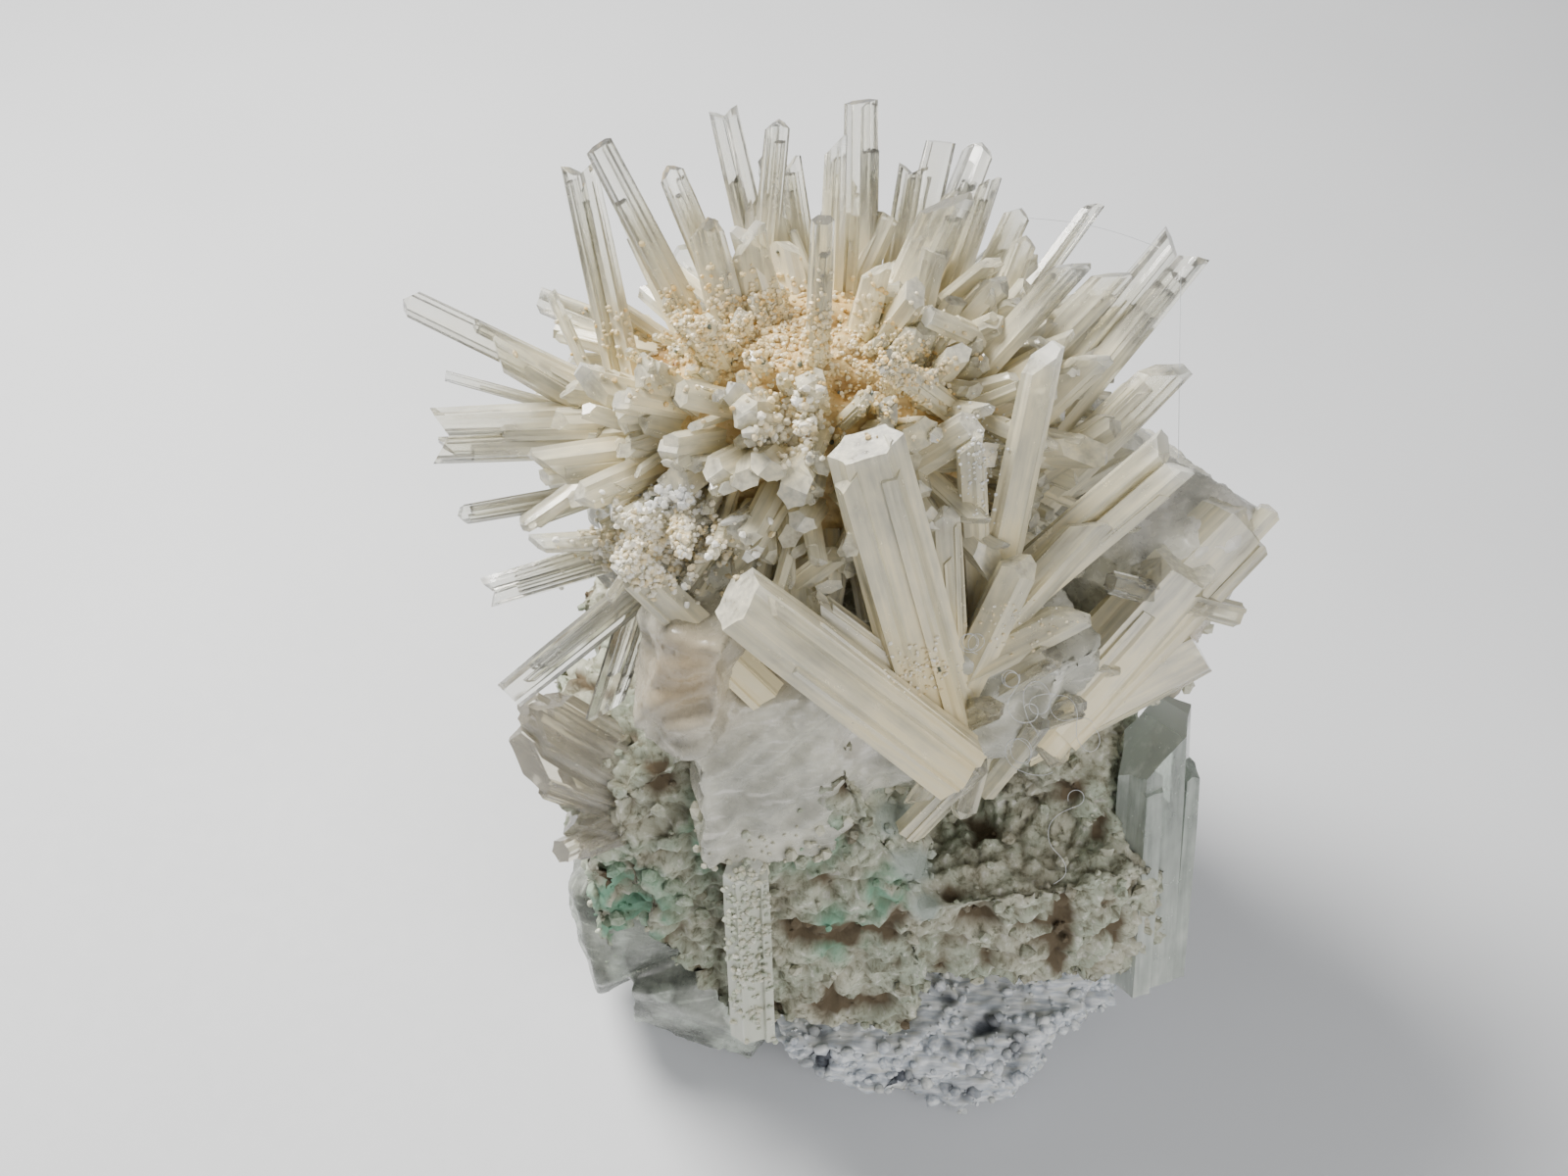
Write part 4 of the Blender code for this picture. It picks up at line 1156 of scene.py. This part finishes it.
def build_spray(dust):
    clear_cream = crystal_look(
        "selenite_look", (0.96, 0.96, 0.92), (0.94, 0.90, 0.72), (0.90, 0.79, 0.50),
        0.93, (0.95, 0.88, 0.64), 60.0,
    )
    tawny = massive_look(
        "massive_look", (0.50, 0.50, 0.43), (0.74, 0.73, 0.62), (0.47, 0.36, 0.21),
        (0.88, 0.86, 0.79), 0.3,
    )
    chance = random.Random(41)

    named = Heap()
    for rows in (BACK_TOP, CROWN, RIGHT_SIDE, LEFT_SIDE):
        rows_of(named, rows, chance)
    rows_of(named, FRONT_STUBS, chance, 0.8)
    rows_of(named, SMALL_RIGHT, chance, 0.35)

    fan = Heap()
    rows_of(fan, FAN, chance, 0.75)
    rows_of(fan, UNDER_FAN, chance, 0.55)
    thick_rows(fan, THICK_PRISMS, chance, 0.75)

    back = Heap()
    ray_blades(back, rays(**LONG_RAYS), chance, None, 3)
    ray_blades(back, fill_rays(**BACK_FILL), chance, None, 2, 2.0)
    stubs = Heap()
    kept = [row for row in rays(**STUB_RAYS) if not in_druse(row[1]) or chance.random() < 0.4]
    ray_blades(stubs, kept, chance, 0.85, 3)
    ray_blades(stubs, fill_rays(**FRONT_FILL), chance, 0.7, 2, 2.0)
    flank = Heap()
    ray_blades(flank, flank_rays(), chance, 0.4, 4)

    core = core_heap()
    shapes = [lump_shape(*TRUNK)] + [block_shape(*row) for row in MASSIVE_BLOCKS]
    massive, massive_normals = rock(shapes, MASSIVE_CELL, massive_surface)
    chips = crumb_heap(massive, massive_normals, 4200, 37, 45, random.Random(59))

    surface = surface_of(named, fan, stubs, core, massive)
    druse = grain_heap("druse", surface, chance)
    crust = grain_heap("crust", surface, chance)
    snow = grain_heap("snow", surface, chance)
    gold = grain_look(
        "golden_grain_look", (0.90, 0.75, 0.44), (0.93, 0.84, 0.62), (0.80, 0.57, 0.24), 0.25
    )
    yellow = grain_look(
        "crust_grain_look", (0.90, 0.85, 0.70), (0.86, 0.73, 0.46), (0.92, 0.90, 0.82), 0.1
    )
    white = grain_look(
        "snow_grain_look", (0.86, 0.87, 0.86), (0.92, 0.92, 0.90), (0.80, 0.80, 0.74), 0.2
    )

    settle(named.piece("spray_crystals", clear_cream), "crystal_gypsum", "gypsum_spray")
    settle(fan.piece("fan_crystals", clear_cream), "crystal_gypsum")
    settle(back.piece("back_crystals", clear_cream), "crystal_gypsum")
    settle(stubs.piece("stub_crystals", clear_cream), "crystal_gypsum")
    settle(flank.piece("flank_crystals", clear_cream), "crystal_gypsum")
    settle(smooth(core.piece("golden_core", druse_look())), "crystal_gypsum")
    settle(smooth(massive.piece("massive_gypsum", tawny)), "crystal_gypsum")
    settle(chips.piece("edge_crumbs", dust), "earthy_matrix")
    settle(druse.piece("golden_grains", gold), "crystal_gypsum")
    settle(crust.piece("crust_grains", yellow), "crystal_gypsum")
    settle(snow.piece("snow_grains", white), "crystal_gypsum")


def build_blades(dust):
    """The crystals that stand in the matrix."""
    chance = random.Random(43)
    tan = crystal_look(
        "left_blade_look", (0.94, 0.90, 0.78), (0.90, 0.86, 0.72), (0.90, 0.87, 0.78),
        0.85, (0.92, 0.84, 0.64), 60.0,
    )
    grey = crystal_look(
        "plate_look", (0.74, 0.80, 0.74), (0.68, 0.73, 0.67), (0.78, 0.80, 0.74),
        0.7, (0.72, 0.80, 0.72), 110.0,
    )
    dusty = crystal_look(
        "dusty_look", (0.48, 0.52, 0.43), (0.56, 0.58, 0.47), (0.66, 0.68, 0.57),
        0.2, (0.72, 0.80, 0.72), 110.0,
    )
    for name, rows, milk, look, slot, node in (
        ("left_blade_group", LEFT_BLADES, 0.3, tan, "crystal_gypsum", "left_blades"),
        ("plate_crystal", (RIGHT_PLATE,), 0.4, grey, "plate_gypsum", "right_plate"),
        ("dusty_prism", (MATRIX_PRISM,), 0.7, dusty, "plate_gypsum", "matrix_prism"),
    ):
        heap = Heap()
        thick_rows(heap, rows, chance, milk)
        settle(heap.piece(name, look), slot, node)
        if name == "dusty_prism":
            cover = grain_heap("dust", surface_of(heap), chance)
            settle(cover.piece("prism_dust", dust), "earthy_matrix")


def build_base(earth):
    """The matrix with its crumbs, the dark lumps and the fibrous foot."""
    shapes = []
    for index, row in enumerate(MATRIX_BLOCKS):
        cuts = FRONT_CUTS if index < FRONT_BLOCKS else BACK_CUTS
        shapes.append(block_shape(*row, cuts=cuts))
    matrix, normals = rock(shapes, MATRIX_CELL, matrix_surface)
    crumbs = crumb_heap(matrix, normals, CRUMB_COUNT, 2, 46, random.Random(47))
    settle(smooth(matrix.piece("matrix_rock", earth)), "earthy_matrix", "matrix")
    settle(crumbs.piece("matrix_crumbs", earth), "earthy_matrix")

    # The lumps' own grey is darkened here by painted shade of the undercut below the matrix.
    dark = massive_look(
        "lower_look", (0.20, 0.22, 0.20), (0.40, 0.43, 0.39), (0.30, 0.28, 0.20),
        (0.62, 0.68, 0.60), 0.55,
    )
    lower, _ = rock([block_shape(*row) for row in LOWER_GYPSUM], LOWER_CELL, lower_surface)
    settle(smooth(lower.piece("lower_lumps", dark)), "plate_gypsum", "lower_gypsum")

    foot, foot_normals = rock(foot_shapes(), FOOT_CELL, foot_surface)
    silk = foot_look()
    knobs = crumb_heap(foot, foot_normals, 1500, 1.8, 14, random.Random(53))
    settle(smooth(foot.piece("foot_ledges", silk)), "fibrous_gypsum", "fibrous_foot")
    settle(smooth(knobs.piece("foot_knobs", silk)), "fibrous_gypsum")
    settle(lint_heap().piece("lint", lint_look()), "fibrous_gypsum")


FLOOR_REACH = 900.0


def build_floor():
    heap = Heap()
    bm = bmesh.new()
    bmesh.ops.create_grid(bm, x_segments=4, y_segments=4, size=FLOOR_REACH)
    own = [tuple(vertex.co) for vertex in bm.verts]
    heap.add(bm, own, [(0, 0, 0)] * len(own))
    heap.piece("floor", floor_look())


LIGHT_LEVEL = 1.5
LIGHT_AIM = Vector((0, -4, 45))


def soft_light(name, place, size, watts, colour):
    data = bpy.data.lights.new(name, "AREA")
    data.shape = "DISK"
    data.size = size * MM
    data.energy = watts * LIGHT_LEVEL
    data.color = colour
    made = bpy.data.objects.new(name, data)
    made.location = Vector(place) * MM
    aim = LIGHT_AIM - Vector(place)
    made.rotation_euler = aim.to_track_quat("-Z", "Y").to_euler()
    bpy.context.scene.collection.objects.link(made)


def build_light():
    """A large light above and behind the left, a weaker one at the front, a soft room."""
    soft_light("key_light", (-130, 110, 260), 130, 1.35, (1.0, 0.97, 0.92))
    soft_light("front_light", (140, -230, 190), 240, 0.4, (1.0, 0.98, 0.96))
    room = bpy.data.worlds.new("soft_room")
    bpy.context.scene.world = room
    room.use_nodes = True
    background = room.node_tree.nodes["Background"]
    background.inputs["Color"].default_value = (0.88, 0.89, 0.91, 1)
    background.inputs["Strength"].default_value = 0.22 * LIGHT_LEVEL


def build_camera():
    data = bpy.data.cameras.new("camera")
    data.lens = FOCAL
    data.sensor_width = 36
    data.clip_start = 0.001
    data.clip_end = 10
    made = bpy.data.objects.new("camera", data)
    bpy.context.scene.collection.objects.link(made)
    eye = SPRAY_CENTRE + RIGHT * EYE.x + UP * EYE.y + TOWARD * EYE.z + CENTRING
    turn = Matrix((RIGHT, UP, TOWARD)).transposed().to_4x4()
    made.matrix_world = Matrix.Translation(eye * MM) @ turn
    bpy.context.scene.camera = made


DUST = grain_look(
    "dust_look", (0.58, 0.57, 0.45), (0.48, 0.52, 0.41), (0.70, 0.70, 0.60), 0.0
)
build_spray(DUST)
build_blades(DUST)
build_base(matrix_look())
build_floor()
build_light()
build_camera()
